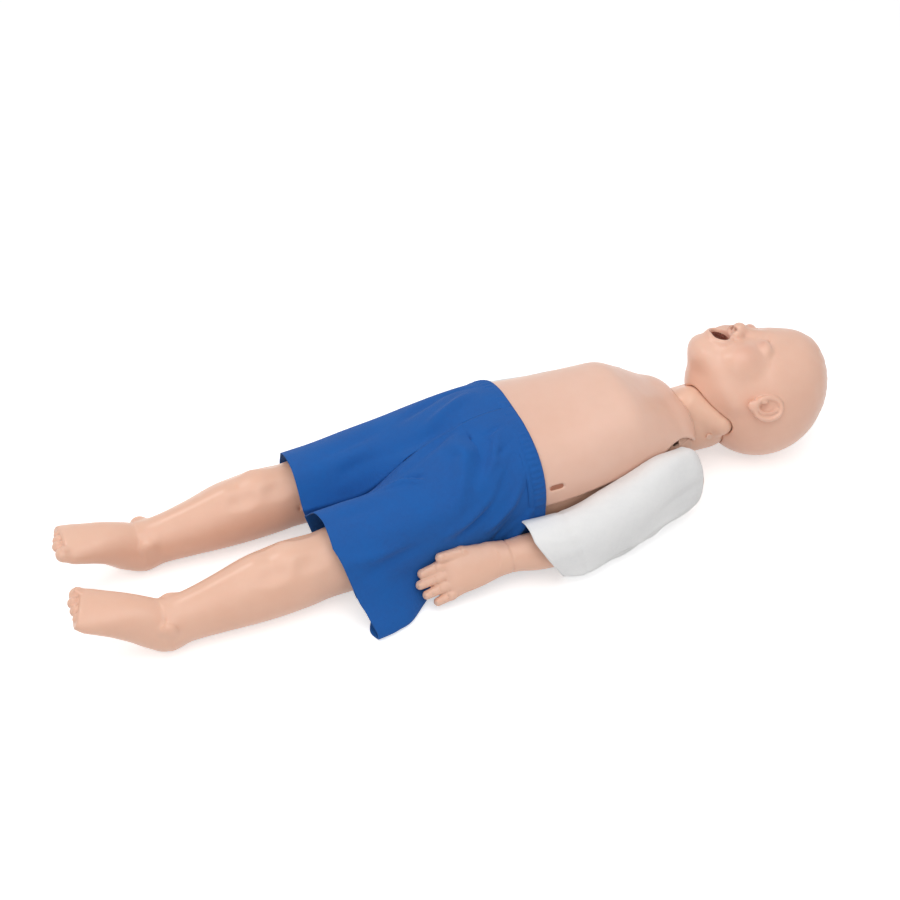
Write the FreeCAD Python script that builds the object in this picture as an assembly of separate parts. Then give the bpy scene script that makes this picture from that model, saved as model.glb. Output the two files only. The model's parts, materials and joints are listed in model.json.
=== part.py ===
import FreeCAD, Part
import math
import os

from FreeCAD import Matrix, Placement, Rotation, Vector

# A full-body child manikin for practising chest compressions and rescue breaths.
# It lies on its back on a flat surface. Millimetres. The origin is on that surface,
# under the compression point of the breastbone. +X runs towards the head, +Z points up,
# and the manikin's left side is -Y.

# Torso: outer surface of the soft chest skin
WAIST_X = -122.0
NECK_X = 122.0
TORSO_LOW_X = -188.0
FOAM_LOW_X = TORSO_LOW_X + 6.0
TORSO_WAIST_HALF = 108.0
TORSO_CHEST_HALF = 96.0
TORSO_NECK_HALF = 67.0
BELLY_TOP = 162.0
CHEST_TOP = 164.0
NECK_TOP = 117.0
TORSO_UNDER = -8.0
NECK_ROUND = 5.0
TORSO_POWER = 2.6

# Walls and clearances
SKIN_WALL = 5.0
SHELL_WALL = 3.5
SEAT_GAP = 0.3
RUNNING_GAP = 0.06
BODY_GAP = 0.6
CLOTH_WALL = 1.6

# Back shell and skin edges
SHELL_RIM_Z = 90.0
SKIN_HEM_Z = 84.0
SKIN_TAIL_X = -150.0
SLOT_X = -103.0
SLOT_Z = 108.0
SLOT_LENGTH = 20.0
SLOT_WIDTH = 7.0

# Compression mechanism
TRAVEL = 45.0
PLATE_WALL = 3.0
LUNG_THICK = 4.0
PLATE_LOW_X = -60.0
PLATE_HIGH_X = 70.0
PLATE_EDGE_Z = 118.0
PLATE_HALF_WIDTH = 71.0
SEAT_RADIUS = 36.0
SEAT_THICK = 6.0
GUIDE_BORE = 10.0
GUIDE_WALL = 3.0
GUIDE_TOP_Z = 70.0
PLUNGER_LOW_Z = 60.0
SPRING_WIRE = 3.2
SPRING_RADIUS = 22.0
SPRING_TURNS = 7
SPRING_SIDES = 14
SEAT_SCREW_RADIUS = 2.0
SEAT_SCREW_CIRCLE = 30.0

# Shoulder joint
SHOULDER_X = 85.0
SHOULDER_Z = 57.0
SHOULDER_FACE_Y = 78.0
SHOULDER_CAP_RADIUS = 27.0
ARMHOLE_RADIUS = 50.0
ARMHOLE_INNER_Y = 66.0
ARMHOLE_SLIT = 2.0
BOSS_RADIUS = 20.0
BOSS_INNER_Y = 56.0
BOLT_RADIUS = 4.0
BOLT_CLEARANCE = 0.2
BOLT_HEAD_RADIUS = 9.0
BOLT_HEAD_THICK = 4.0
BOLT_HEAD_ROOM = 0.5
SHOULDER_HEAD_Y = 96.0
NUT_RADIUS = 8.0
NUT_THICK = 6.0
WASHER_RADIUS = 10.0
WASHER_THICK = 1.5
BOLT_TAIL = 4.5

# Hip joint
HIP_X = -212.0
HIP_Z = 60.0
HIP_DRUM_RADIUS = 52.0
HIP_FACE_Y = 30.0
HIP_CENTRE_Y = 58.0
HIP_ROD_RADIUS = 5.0
HIP_ROOM = 2.0
HEEL_X = -609.0
HEEL_RADIUS = 31.0
HEEL_LIFT = 0.5
INNER_THIGH_END_X = -300.0
TOE_X = -706.0
TOE_Z = 88.0
TOE_Y = 57.0
LEFT_HEEL_Y = 80.0
RIGHT_HEEL_Y = 63.0
LEFT_KNEE_BOW = -2.0
RIGHT_KNEE_BOW = 11.0
HIP_HEAD_Y = 84.0
PELVIS_RADIUS = 48.0

# Neck and head
NECK_Z = 64.0
NECK_PIVOT_X = 168.0
NECK_BALL_RADIUS = 47.0
NECK_HOLE_RADIUS = 50.0
NECK_STEM_RADIUS = 22.0
NECK_NUT_RADIUS = 30.0
NECK_BLOCK_X = 92.0
HEAD_PIN_RADIUS = 4.0
HEAD_PIN_HALF = 52.0
HEAD_NOD = 5.0
NECK_TUBE_RADIUS = 46.0
HEAD_SCALE = 1.085
HEAD_CENTRE = Vector(244.0, 0.0, 98.0)
HEAD_TILT = 7.0
HEAD_TURN = -4.0
HEAD_LEAN = -15.0

# Sleeves and shorts
SLEEVE_TOP_X = 114.5
CUFF_LOW_X = -107.0
CUFF_HIGH_X = -158.0
SLEEVE_EDGE_GAP = 1.5
LEFT_SLEEVE_FULLNESS = 12.0
RIGHT_SLEEVE_FULLNESS = 4.0
HEM_X = -407.0
HEM_CORNERS = [(-395, 170), (-407, 95), (-403, 3), (-386, -3), (-397, -45), (-395, -105), (-370, -165)]
CROTCH_X = -285.0
LEG_CLOTH_START_X = -228.0
CLOTH_LOW_Z = 0.4
CLOTH_RECESS = CLOTH_LOW_Z + CLOTH_WALL + SEAT_GAP


def spline(points):
    """Closed smooth wire through points."""
    curve = Part.BSplineCurve()
    curve.interpolate(points, PeriodicFlag=True)
    return Part.Wire([curve.toShape()])


def oval(centre, across, upward, half_across, half_up, power=2.0, count=16):
    """Closed superellipse wire in the plane of two unit directions."""
    points = []
    for step in range(count):
        angle = 2.0 * math.pi * step / count
        c = math.cos(angle)
        s = math.sin(angle)
        a = half_across * math.copysign(abs(c) ** (2.0 / power), c)
        b = half_up * math.copysign(abs(s) ** (2.0 / power), s)
        points.append(centre + across * a + upward * b)
    return spline(points)


def loft(wires):
    """Smooth solid through closed wires."""
    solid = Part.makeLoft(wires, True, False)
    if solid.Volume < 0:
        solid.reverse()
    return solid


def tube(stations, power=2.0, upward_hint=Vector(0, 0, 1)):
    """Smooth solid along stations of (centre, half across, half up)."""
    wires = []
    last = len(stations) - 1
    for index, (centre, half_across, half_up) in enumerate(stations):
        ahead = stations[min(index + 1, last)][0] - stations[max(index - 1, 0)][0]
        ahead.normalize()
        across = upward_hint.cross(ahead)
        across.normalize()
        upward = ahead.cross(across)
        wires.append(oval(centre, across, upward, half_across, half_up, power))
    return loft(wires)


def ellipsoid(centre, radii, rotation=Rotation()):
    """Ellipsoid with its own radii along X, Y and Z, then turned and moved."""
    ball = Part.makeSphere(1.0)
    stretch = Matrix()
    stretch.scale(radii[0], radii[1], radii[2])
    return placed(ball.transformGeometry(stretch), centre, rotation)


def placed(shape, centre, rotation):
    """Copy of shape, turned and moved."""
    copy = shape.copy()
    copy.Placement = Placement(centre, rotation).multiply(copy.Placement)
    return copy


def capsule(start, end, start_radius, end_radius):
    """Round-ended cone between two points."""
    along = end - start
    if abs(start_radius - end_radius) < 1e-6:
        cone = Part.makeCylinder(start_radius, along.Length, start, along)
    else:
        cone = Part.makeCone(start_radius, end_radius, along.Length, start, along)
    return cone.fuse([Part.makeSphere(start_radius, start), Part.makeSphere(end_radius, end)])


def box(low, high):
    """Box between two corners."""
    return Part.makeBox(high[0] - low[0], high[1] - low[1], high[2] - low[2], Vector(*low))


def mirrored(shape):
    """Copy of shape on the other side of the middle plane."""
    return shape.mirror(Vector(0, 0, 0), Vector(0, 1, 0))


def cylinder_y(radius, x, z, low_y, high_y):
    """Cylinder along Y."""
    return Part.makeCylinder(radius, high_y - low_y, Vector(x, low_y, z), Vector(0, 1, 0))


def cylinder_x(radius, low_x, high_x, z):
    """Cylinder along X on the middle plane."""
    return Part.makeCylinder(radius, high_x - low_x, Vector(low_x, 0, z), Vector(1, 0, 0))


def drum(radius, x, z, low_y, side_y, high_y):
    """Round body about a line along Y: straight to side_y, then a domed end."""
    dome = []
    for step in range(9):
        angle = math.pi / 2 * step / 8
        dome.append(Vector(x + radius * math.cos(angle), side_y + (high_y - side_y) * math.sin(angle), z))
    curve = Part.BSplineCurve()
    curve.interpolate(dome)
    base = Vector(x, low_y, z)
    rim = Vector(x + radius, low_y, z)
    edges = [
        Part.makeLine(base, rim),
        Part.makeLine(rim, dome[0]),
        curve.toShape(),
        Part.makeLine(dome[-1], base),
    ]
    return Part.Face(Part.Wire(edges)).revolve(base, Vector(0, 1, 0), 360)


def torso_stations():
    """Outer sections of the torso as (x, half width, top, underside)."""
    waist = TORSO_WAIST_HALF
    chest = TORSO_CHEST_HALF
    neck = TORSO_NECK_HALF
    under = TORSO_UNDER
    return [
        (TORSO_LOW_X, waist - 2, BELLY_TOP - 6, under),
        (WAIST_X - 33, waist, BELLY_TOP + 1, under),
        (WAIST_X, waist, BELLY_TOP + 1, under),
        (WAIST_X + 42, waist - 1, BELLY_TOP - 2, under),
        (-40.0, (waist + chest) / 2, (BELLY_TOP + CHEST_TOP) / 2 - 2, under),
        (0.0, chest, CHEST_TOP, under),
        (NECK_X - 94, chest - 4, CHEST_TOP + 1, under),
        (NECK_X - 72, chest - 7, CHEST_TOP - 9, under + 1),
        (NECK_X - 52, chest - 10, CHEST_TOP - 21, under + 3),
        (NECK_X - 28, neck + 13, NECK_TOP + 12, under + 7),
        (NECK_X - 10, neck + 7, NECK_TOP + 5, under + 14),
        (NECK_X, neck, NECK_TOP - 1, under + 22),
        (NECK_X + NECK_ROUND, neck - 11, NECK_TOP - 7, under + 34),
    ]


def torso(inset):
    """Torso form, set in from the outer surface of the skin on every side."""
    wires = []
    for x, half, top, under in torso_stations():
        centre = Vector(x, 0, (top + under) / 2)
        half_up = (top - under) / 2 - inset
        wires.append(oval(centre, Vector(0, 1, 0), Vector(0, 0, 1), half - inset, half_up, TORSO_POWER, 20))
    return loft(wires)


def slab(low_x, high_x, low_z, high_z):
    """Cutting block across the whole width."""
    return box((low_x, -400, low_z), (high_x, 400, high_z))


def shoulder_clear(radius):
    """Both round spaces that the arms turn in, at the sides of the shoulders."""
    right = cylinder_y(radius, SHOULDER_X, SHOULDER_Z, SHOULDER_FACE_Y, 400)
    return right.fuse(mirrored(right))


def hip_room():
    """Round space across the whole width that the thighs turn in."""
    return cylinder_y(HIP_DRUM_RADIUS + HIP_ROOM, HIP_X, HIP_Z, -400, 400)


def pelvis_foot(grow):
    """Foot of the pelvis block on the tray's floor."""
    half = HIP_FACE_Y - BODY_GAP - 4 + grow
    low_x = TORSO_LOW_X + 6 - grow
    return box((low_x, -half, CLOTH_RECESS + SHELL_WALL), (low_x + 20 + 2 * grow, half, 40 + grow))


def tray_floor_room(low_x, high_x, rise):
    """Room above the tray's floor, which is higher where cloth passes under it."""
    under_cloth = slab(low_x, WAIST_X + SHELL_WALL, CLOTH_RECESS + rise, 300)
    return under_cloth.fuse(slab(WAIST_X + SHELL_WALL, high_x, rise, 300))


def make_back_shell():
    """Open tray with a flat back, shoulder plates with bosses and room for the thighs."""
    outside = SKIN_WALL + SEAT_GAP
    body = torso(outside)
    tray = body.common(slab(TORSO_LOW_X, NECK_X - SEAT_GAP - 4, 0, SHELL_RIM_Z))
    hollow = torso(outside + SHELL_WALL)
    tray = tray.cut(hollow.common(tray_floor_room(TORSO_LOW_X + SHELL_WALL, NECK_X, SHELL_WALL)))
    tray = tray.cut(slab(TORSO_LOW_X - 1, WAIST_X, -1, CLOTH_RECESS))
    face_y = SHOULDER_FACE_Y - BODY_GAP / 2
    plate = cylinder_y(ARMHOLE_RADIUS - ARMHOLE_SLIT, SHOULDER_X, SHOULDER_Z, face_y - SHELL_WALL, face_y)
    plate = plate.common(body).common(slab(TORSO_LOW_X, NECK_X - SEAT_GAP - 4, 0, 300))
    boss = cylinder_y(BOSS_RADIUS, SHOULDER_X, SHOULDER_Z, BOSS_INNER_Y, face_y)
    tray = tray.cut(shoulder_clear(ARMHOLE_RADIUS))
    tray = tray.fuse([plate, mirrored(plate), boss, mirrored(boss)])
    tray = tray.cut(cylinder_y(BOLT_RADIUS + BOLT_CLEARANCE, SHOULDER_X, SHOULDER_Z, -120, 120))
    tray = tray.cut(hip_room())
    for x, y in seat_screw_places():
        tray = tray.cut(Part.makeCylinder(SEAT_SCREW_RADIUS, SHELL_WALL, Vector(x, y, 0)))
    return tray.removeSplitter()


def seat_screw_places():
    """Centres of the spring seat's four screws."""
    reach = SEAT_SCREW_CIRCLE * math.sqrt(0.5)
    return [(sx * reach, sy * reach) for sx in (-1, 1) for sy in (-1, 1)]


def make_abdomen_foam():
    """Foam belly that fills the tray and carries the skin and the waistband."""
    foam = torso(SKIN_WALL + SEAT_GAP + SHELL_WALL + SEAT_GAP)
    lower = foam.common(tray_floor_room(FOAM_LOW_X, PLATE_LOW_X - 6, SHELL_WALL + SEAT_GAP))
    lower = lower.common(slab(FOAM_LOW_X, 0, 0, SHELL_RIM_Z + SEAT_GAP))
    cap = torso(SKIN_WALL + SEAT_GAP)
    cap = cap.common(slab(FOAM_LOW_X, PLATE_LOW_X - 6, SHELL_RIM_Z + SEAT_GAP, 300))
    foam = lower.fuse(cap)
    foam = foam.cut(hip_room()).cut(pelvis_foot(SEAT_GAP))
    return foam.removeSplitter()


def make_chest_skin():
    """Soft vinyl skin with a neck opening, arm holes and a hooking slot each side."""
    hollow = torso(SKIN_WALL).common(slab(SKIN_TAIL_X - 1, NECK_X + NECK_ROUND - SKIN_WALL, 0, 300))
    skin = torso(0).cut(hollow)
    skin = skin.common(slab(SKIN_TAIL_X, NECK_X + NECK_ROUND, SKIN_HEM_Z, 300))
    skin = skin.cut(cylinder_x(NECK_HOLE_RADIUS, NECK_X - SKIN_WALL, NECK_X + 20, NECK_Z))
    armhole = cylinder_y(ARMHOLE_RADIUS, SHOULDER_X, SHOULDER_Z, ARMHOLE_INNER_Y, 400)
    skin = skin.cut(armhole.fuse(mirrored(armhole)))
    slot = slot_body(SLOT_LENGTH, SLOT_WIDTH, TORSO_WAIST_HALF - 25, TORSO_WAIST_HALF + 10)
    skin = skin.cut(slot.fuse(mirrored(slot)))
    return skin.removeSplitter()


def slot_body(length, width, low_y, high_y):
    """Round-ended bar along Y at the skin's slot."""
    reach = (length - width) / 2
    middle = box((SLOT_X - reach, low_y, SLOT_Z - width / 2), (SLOT_X + reach, high_y, SLOT_Z + width / 2))
    ends = [cylinder_y(width / 2, SLOT_X + side * reach, SLOT_Z, low_y, high_y) for side in (-1, 1)]
    return middle.fuse(ends)


def make_skin_peg():
    """Hooking peg of the right side, standing through the skin's slot."""
    peg = slot_body(SLOT_LENGTH - 1, SLOT_WIDTH - 1, TORSO_WAIST_HALF - 19, TORSO_WAIST_HALF + 10)
    peg = peg.common(torso(1.5))
    return peg.cut(torso(SKIN_WALL + SEAT_GAP - RUNNING_GAP))


def make_spring_seat():
    """Screwed base with the plunger's guide tube."""
    top = SHELL_WALL + SEAT_THICK
    seat = Part.makeCylinder(SEAT_RADIUS, SEAT_THICK, Vector(0, 0, SHELL_WALL))
    guide = Part.makeCylinder(GUIDE_BORE + GUIDE_WALL, GUIDE_TOP_Z - top, Vector(0, 0, top))
    bore = Part.makeCylinder(GUIDE_BORE, GUIDE_TOP_Z, Vector(0, 0, top))
    seat = seat.fuse(guide).cut(bore)
    for x, y in seat_screw_places():
        seat = seat.cut(Part.makeCylinder(SEAT_SCREW_RADIUS, SEAT_THICK, Vector(x, y, SHELL_WALL)))
    return seat.removeSplitter()


def make_seat_screws():
    """Four countersunk screws as one group."""
    screws = []
    for x, y in seat_screw_places():
        length = SHELL_WALL + SEAT_THICK
        shank = Part.makeCylinder(SEAT_SCREW_RADIUS, length, Vector(x, y, 0))
        head = Part.makeCone(SEAT_SCREW_RADIUS, 2 * SEAT_SCREW_RADIUS, 1.6, Vector(x, y, length))
        screws.append(shank.fuse(head).removeSplitter())
    return Part.makeCompound(screws)


def make_spring():
    """Coil spring between the seat and the chest plate."""
    low = SHELL_WALL + SEAT_THICK + SPRING_WIRE / 2
    high = plate_boss_z() - SPRING_WIRE / 2 - SEAT_GAP
    pitch = (high - low) / SPRING_TURNS
    path = []
    profile = []
    for step in range(SPRING_TURNS * SPRING_SIDES + 1):
        angle = 2.0 * math.pi * step / SPRING_SIDES
        height = low + pitch * step / SPRING_SIDES
        path.append(Vector(SPRING_RADIUS * math.cos(angle), SPRING_RADIUS * math.sin(angle), height))
    for step in range(9):
        angle = 2.0 * math.pi * step / 8
        out = SPRING_RADIUS + SPRING_WIRE / 2 * math.cos(angle)
        profile.append(Vector(out, 0, low + SPRING_WIRE / 2 * math.sin(angle)))
    return Part.makePolygon(path).makePipeShell([Part.makePolygon(profile)], True, False, 1)


def plate_boss_z():
    """Underside of the chest plate's boss over the compression point."""
    return CHEST_TOP - SKIN_WALL - SEAT_GAP - LUNG_THICK - PLATE_WALL - 9.0


def make_chest_plate():
    """Domed plate with a ribbed boss and the plunger."""
    outside = SKIN_WALL + SEAT_GAP + LUNG_THICK + SEAT_GAP
    wide = PLATE_HALF_WIDTH
    clip = box((PLATE_LOW_X, -wide, PLATE_EDGE_Z), (PLATE_HIGH_X, wide, 300))
    plate = torso(outside).common(clip)
    hollow = torso(outside + PLATE_WALL).common(slab(PLATE_LOW_X, PLATE_HIGH_X, PLATE_EDGE_Z - 1, 300))
    body = torso(outside + 0.5).common(clip)
    boss_z = plate_boss_z()
    boss = Part.makeCylinder(SPRING_RADIUS + 5, 40, Vector(0, 0, boss_z))
    plunger = Part.makeCylinder(GUIDE_BORE - SEAT_GAP, boss_z - PLUNGER_LOW_Z + 10, Vector(0, 0, PLUNGER_LOW_Z))
    ribs = []
    for y in (-40, 40):
        ribs.append(box((PLATE_LOW_X + 4, y - 1.5, boss_z), (PLATE_HIGH_X - 4, y + 1.5, 200)))
    for x in (-40, 44):
        ribs.append(box((x - 1.5, -60, boss_z), (x + 1.5, 60, 200)))
    frame = boss.fuse(ribs).common(body)
    return plate.cut(hollow).fuse([frame, plunger]).removeSplitter()


def make_lung_bag():
    """Flat breathing bag lying on the chest plate."""
    outside = SKIN_WALL + SEAT_GAP
    form = torso(outside).cut(torso(outside + LUNG_THICK))
    outline = Part.makeCylinder(46, 300, Vector(6, 0, 0))
    return form.common(outline).common(slab(-100, 100, PLATE_EDGE_Z, 300)).removeSplitter()


def make_neck_block():
    """Block in the tray's upper end that the neck turns in."""
    inside = torso(SKIN_WALL + SEAT_GAP + SHELL_WALL + SEAT_GAP)
    high_x = NECK_X - 4
    lower = inside.common(slab(NECK_BLOCK_X, high_x, SHELL_WALL + SEAT_GAP, SHELL_RIM_Z + SEAT_GAP))
    cap = torso(SKIN_WALL + SEAT_GAP).common(slab(NECK_BLOCK_X, high_x, SHELL_RIM_Z + SEAT_GAP, 300))
    block = lower.fuse(cap)
    block = block.cut(cylinder_x(NECK_STEM_RADIUS + RUNNING_GAP, NECK_BLOCK_X - 1, NECK_X, NECK_Z))
    boss_room = cylinder_y(BOSS_RADIUS + SEAT_GAP, SHOULDER_X, SHOULDER_Z, BOSS_INNER_Y - 16, 400)
    plate_y = SHOULDER_FACE_Y - BODY_GAP / 2 - SHELL_WALL - SEAT_GAP
    plate_room = cylinder_y(ARMHOLE_RADIUS, SHOULDER_X, SHOULDER_Z, plate_y, 400)
    room = boss_room.fuse(plate_room)
    return block.cut(room).cut(mirrored(room)).removeSplitter()


def make_neck():
    """Neck moulding with a stem below and a ball above."""
    low_x = NECK_X - 4 + SEAT_GAP
    tube_body = cylinder_x(NECK_TUBE_RADIUS, low_x, NECK_PIVOT_X, NECK_Z)
    neck = tube_body.fuse(Part.makeSphere(NECK_BALL_RADIUS, Vector(NECK_PIVOT_X, 0, NECK_Z)))
    stem = cylinder_x(NECK_STEM_RADIUS, NECK_BLOCK_X - 9, low_x + 5, NECK_Z)
    return neck.fuse(stem).cut(head_pin_rod(RUNNING_GAP, 80)).removeSplitter()


def make_neck_nut():
    """Ring that keeps the neck's stem in its block."""
    low_x = NECK_BLOCK_X - SEAT_GAP - 6
    ring = cylinder_x(NECK_NUT_RADIUS, low_x, low_x + 6, NECK_Z)
    return ring.cut(cylinder_x(NECK_STEM_RADIUS, low_x - 1, low_x + 7, NECK_Z))


def head_turned(shape):
    """Shape about the neck's ball, turned and leaning as the head is stored."""
    copy = shape.copy()
    ball = Vector(NECK_PIVOT_X, 0, NECK_Z)
    copy.rotate(ball, Vector(1, 0, 0), HEAD_TURN)
    copy.rotate(ball, Vector(0, 0, 1), HEAD_LEAN)
    return copy


def neck_room():
    """Room in the head for the neck's tube, from the stored pose to the forward nod."""
    ball = Vector(NECK_PIVOT_X, 0, NECK_Z)
    room = cylinder_x(NECK_TUBE_RADIUS + 2 * BODY_GAP, NECK_X - 20, NECK_PIVOT_X, NECK_Z)
    axis = head_turned(Part.makeLine(ball, ball + Vector(0, 1, 0))).valueAt(1) - ball
    nodded = room.copy()
    nodded.rotate(ball, axis, HEAD_NOD)
    return room.fuse([nodded, Part.makeSphere(NECK_BALL_RADIUS + BODY_GAP, ball)])


def head_pin_rod(extra_radius, half):
    """Rod along the head's tilting axis."""
    rod = cylinder_y(HEAD_PIN_RADIUS + extra_radius, NECK_PIVOT_X, NECK_Z, -half, half)
    return head_turned(rod)


def head_placed(shape):
    """Shape from the head's own frame, tilted back and turned into place."""
    copy = shape.copy()
    copy.rotate(Vector(0, 0, 0), Vector(0, 1, 0), HEAD_TILT)
    copy.translate(HEAD_CENTRE)
    return head_turned(copy)


def head_sections():
    """Half breadth, back and front of the head at heights from crown to chin, unscaled."""
    return [
        (89.0, 12.0, -17.0, 9.0),
        (84.0, 27.0, -34.0, 25.0),
        (72.0, 45.0, -56.0, 46.0),
        (50.0, 61.0, -76.0, 67.0),
        (20.0, 70.0, -88.0, 80.0),
        (-8.0, 70.0, -87.0, 79.0),
        (-30.0, 66.0, -76.0, 80.0),
        (-52.0, 60.0, -56.0, 82.0),
        (-72.0, 53.0, -34.0, 80.0),
        (-88.0, 38.0, 0.0, 75.0),
        (-97.0, 18.0, 34.0, 64.0),
    ]


def head_form(inset):
    """Skull and jaw in the head's own frame, set in on every side."""
    wires = []
    for height, half, back, front in head_sections():
        if inset and abs(height) > 84.0:
            continue
        centre = Vector(height, 0, (front + back) / 2) * HEAD_SCALE
        half_up = (front - back) / 2 * HEAD_SCALE - inset
        across = half * HEAD_SCALE - inset
        wires.append(oval(centre, Vector(0, 1, 0), Vector(0, 0, 1), across, half_up, 2.15))
    return loft(wires)


def head_features():
    """Nose, lips, closed eyelids and ears, in the head's own frame."""
    pieces = []
    bridge = Vector(-8, 0, 76) * HEAD_SCALE
    tip = Vector(-37, 0, 92) * HEAD_SCALE
    pieces.append(capsule(bridge, tip, 6.0, 8.5))
    for side in (-1, 1):
        pieces.append(ellipsoid(Vector(-42, 8.5 * side, 86) * HEAD_SCALE, (7.5, 6.0, 7.5)))
        pieces.append(ellipsoid(Vector(-10, 29 * side, 68) * HEAD_SCALE, (9.0, 14.0, 10.0)))
        ear = ellipsoid(Vector(0, 0, 0), (27.0, 5.0, 16.0))
        hollow = ellipsoid(Vector(2, 5.0 * side, 2), (17.0, 4.5, 9.0))
        lean = Rotation(Vector(1, 0, 0), -18.0 * side)
        pieces.append(placed(ear.cut(hollow), Vector(-20, 70.5 * side, -8) * HEAD_SCALE, lean))
    pieces.append(ellipsoid(Vector(-52, 0, 80) * HEAD_SCALE, (5.5, 17.0, 8.0)))
    pieces.append(ellipsoid(Vector(-67, 0, 78) * HEAD_SCALE, (5.5, 15.0, 8.0)))
    pieces.append(ellipsoid(Vector(-84, 0, 66) * HEAD_SCALE, (13.0, 18.0, 14.0)))
    return pieces


def mouth_form(grow):
    """Mouth cavity in the head's own frame."""
    centre = Vector(-59.5, 0, 76) * HEAD_SCALE
    wires = []
    for depth, across, along in ((16.0, 16.0, 8.0), (4.0, 15.0, 7.5), (-10.0, 13.0, 7.5), (-20.0, 11.0, 7.0)):
        at = centre + Vector(0, 0, depth)
        wires.append(oval(at, Vector(0, 1, 0), Vector(1, 0, 0), across + grow, along + grow))
    return loft(wires)


def make_head():
    """Foam-filled vinyl head with a socket for the neck and an open mouth."""
    head = head_form(0)
    head = head.fuse(head_features())
    head = head.cut(mouth_form(0))
    nostrils = []
    for side in (-1, 1):
        nostrils.append(ellipsoid(Vector(-46, 5.5 * side, 92) * HEAD_SCALE, (4.0, 2.6, 6.0)))
    head = head.cut(Part.makeCompound(nostrils))
    head = head_placed(head)
    head = head.cut(neck_room())
    head = head.cut(head_pin_rod(0, HEAD_PIN_HALF))
    return head.removeSplitter()


def make_mouth_liner():
    """Airway piece that lines the mouth."""
    liner = mouth_form(-SEAT_GAP / 3)
    centre = Vector(-59.5, 0, 76) * HEAD_SCALE
    keep = box((centre.x - 30, -30, centre.z - 30), (centre.x + 30, 30, centre.z + 1))
    liner = liner.common(keep)
    throat = mouth_form(-2.0)
    above = box((centre.x - 30, -30, centre.z - 17), (centre.x + 30, 30, centre.z + 20))
    liner = liner.cut(throat.common(above))
    return head_placed(liner)


def arm_stations():
    """Arm centres and half sizes of the right side, from shoulder to palm."""
    return [
        (Vector(SHOULDER_X, 105, SHOULDER_Z), 26.0, 26.5),
        (Vector(55, 109, 55), 26.0, 27.0),
        (Vector(10, 120, 50), 25.5, 26.0),
        (Vector(-40, 132, 45), 25.0, 25.0),
        (Vector(-78, 139, 42), 24.0, 24.0),
        (Vector(-112, 141, 43), 25.0, 25.0),
        (Vector(-150, 138, 43), 24.5, 24.0),
        (Vector(-176, 134, 43), 22.0, 21.5),
    ]


def hand_pieces():
    """Palm and five digits of the right side, rolled with the thumb upward."""
    palm_across = Vector(0, -0.68, 0.73)
    back = Vector(0, 0.73, 0.68)
    palm = loft([
        oval(Vector(-165, 136, 43), palm_across, back, 22.5, 22.0),
        oval(Vector(-182, 133, 43), palm_across, back, 21.5, 18.5),
        oval(Vector(-198, 132, 42), palm_across, back, 21.5, 16.0),
        oval(Vector(-222, 133, 40), palm_across, back, 25.0, 14.0),
        oval(Vector(-242, 134, 37), palm_across, back, 26.5, 12.5),
        oval(Vector(-256, 135, 35), palm_across, back, 25.0, 10.0),
    ])
    pieces = [palm]
    knuckle = Vector(-246, 134, 37)
    tips = [
        Vector(-293, 125, 45),
        Vector(-299, 133, 35),
        Vector(-294, 143, 25),
        Vector(-282, 150, 15),
    ]
    for index, tip in enumerate(tips):
        start = knuckle + palm_across * (19.0 - 12.6 * index)
        pieces.append(capsule(start, tip, 7.6 - 0.2 * index, 6.4 - 0.2 * index))
    thumb_root = Vector(-205, 124, 53)
    thumb_knuckle = Vector(-240, 121, 60)
    thumb_tip = Vector(-268, 121, 61)
    pieces.append(capsule(thumb_root, thumb_knuckle, 9.5, 7.5))
    pieces.append(capsule(thumb_knuckle, thumb_tip, 7.5, 6.3))
    return pieces


def bolt_bored(limb, radius, x, z, head_y):
    """Limb with a running bore along Y and a closed space for the bolt's head."""
    limb = limb.cut(cylinder_y(radius + RUNNING_GAP, x, z, 0, head_y))
    reach = BOLT_HEAD_THICK / 2 + BOLT_HEAD_ROOM
    return limb.cut(cylinder_y(BOLT_HEAD_RADIUS + BOLT_HEAD_ROOM, x, z, head_y - reach, head_y + reach))


def make_arm():
    """One-piece vinyl arm of the right side."""
    arm = tube(arm_stations())
    middle_y = arm_stations()[0][0].y
    high_y = middle_y + SHOULDER_CAP_RADIUS - 1.0
    cap = drum(SHOULDER_CAP_RADIUS, SHOULDER_X, SHOULDER_Z, SHOULDER_FACE_Y, middle_y, high_y)
    arm = arm.fuse([cap] + hand_pieces())
    arm = arm.cut(box((0, 0, 0), (200, SHOULDER_FACE_Y + BODY_GAP / 2, 150)))
    return bolt_bored(arm, BOLT_RADIUS, SHOULDER_X, SHOULDER_Z, SHOULDER_HEAD_Y).removeSplitter()


def make_shoulder_bolt():
    """Bolt of the right shoulder, with its head held in the arm."""
    tail_y = BOSS_INNER_Y - WASHER_THICK - NUT_THICK - BOLT_TAIL
    half = BOLT_HEAD_THICK / 2
    bolt = cylinder_y(BOLT_RADIUS, SHOULDER_X, SHOULDER_Z, tail_y, SHOULDER_HEAD_Y - half)
    head_y = SHOULDER_HEAD_Y
    head = cylinder_y(BOLT_HEAD_RADIUS, SHOULDER_X, SHOULDER_Z, head_y - half, head_y + half)
    return bolt.fuse(head).removeSplitter()


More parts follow.
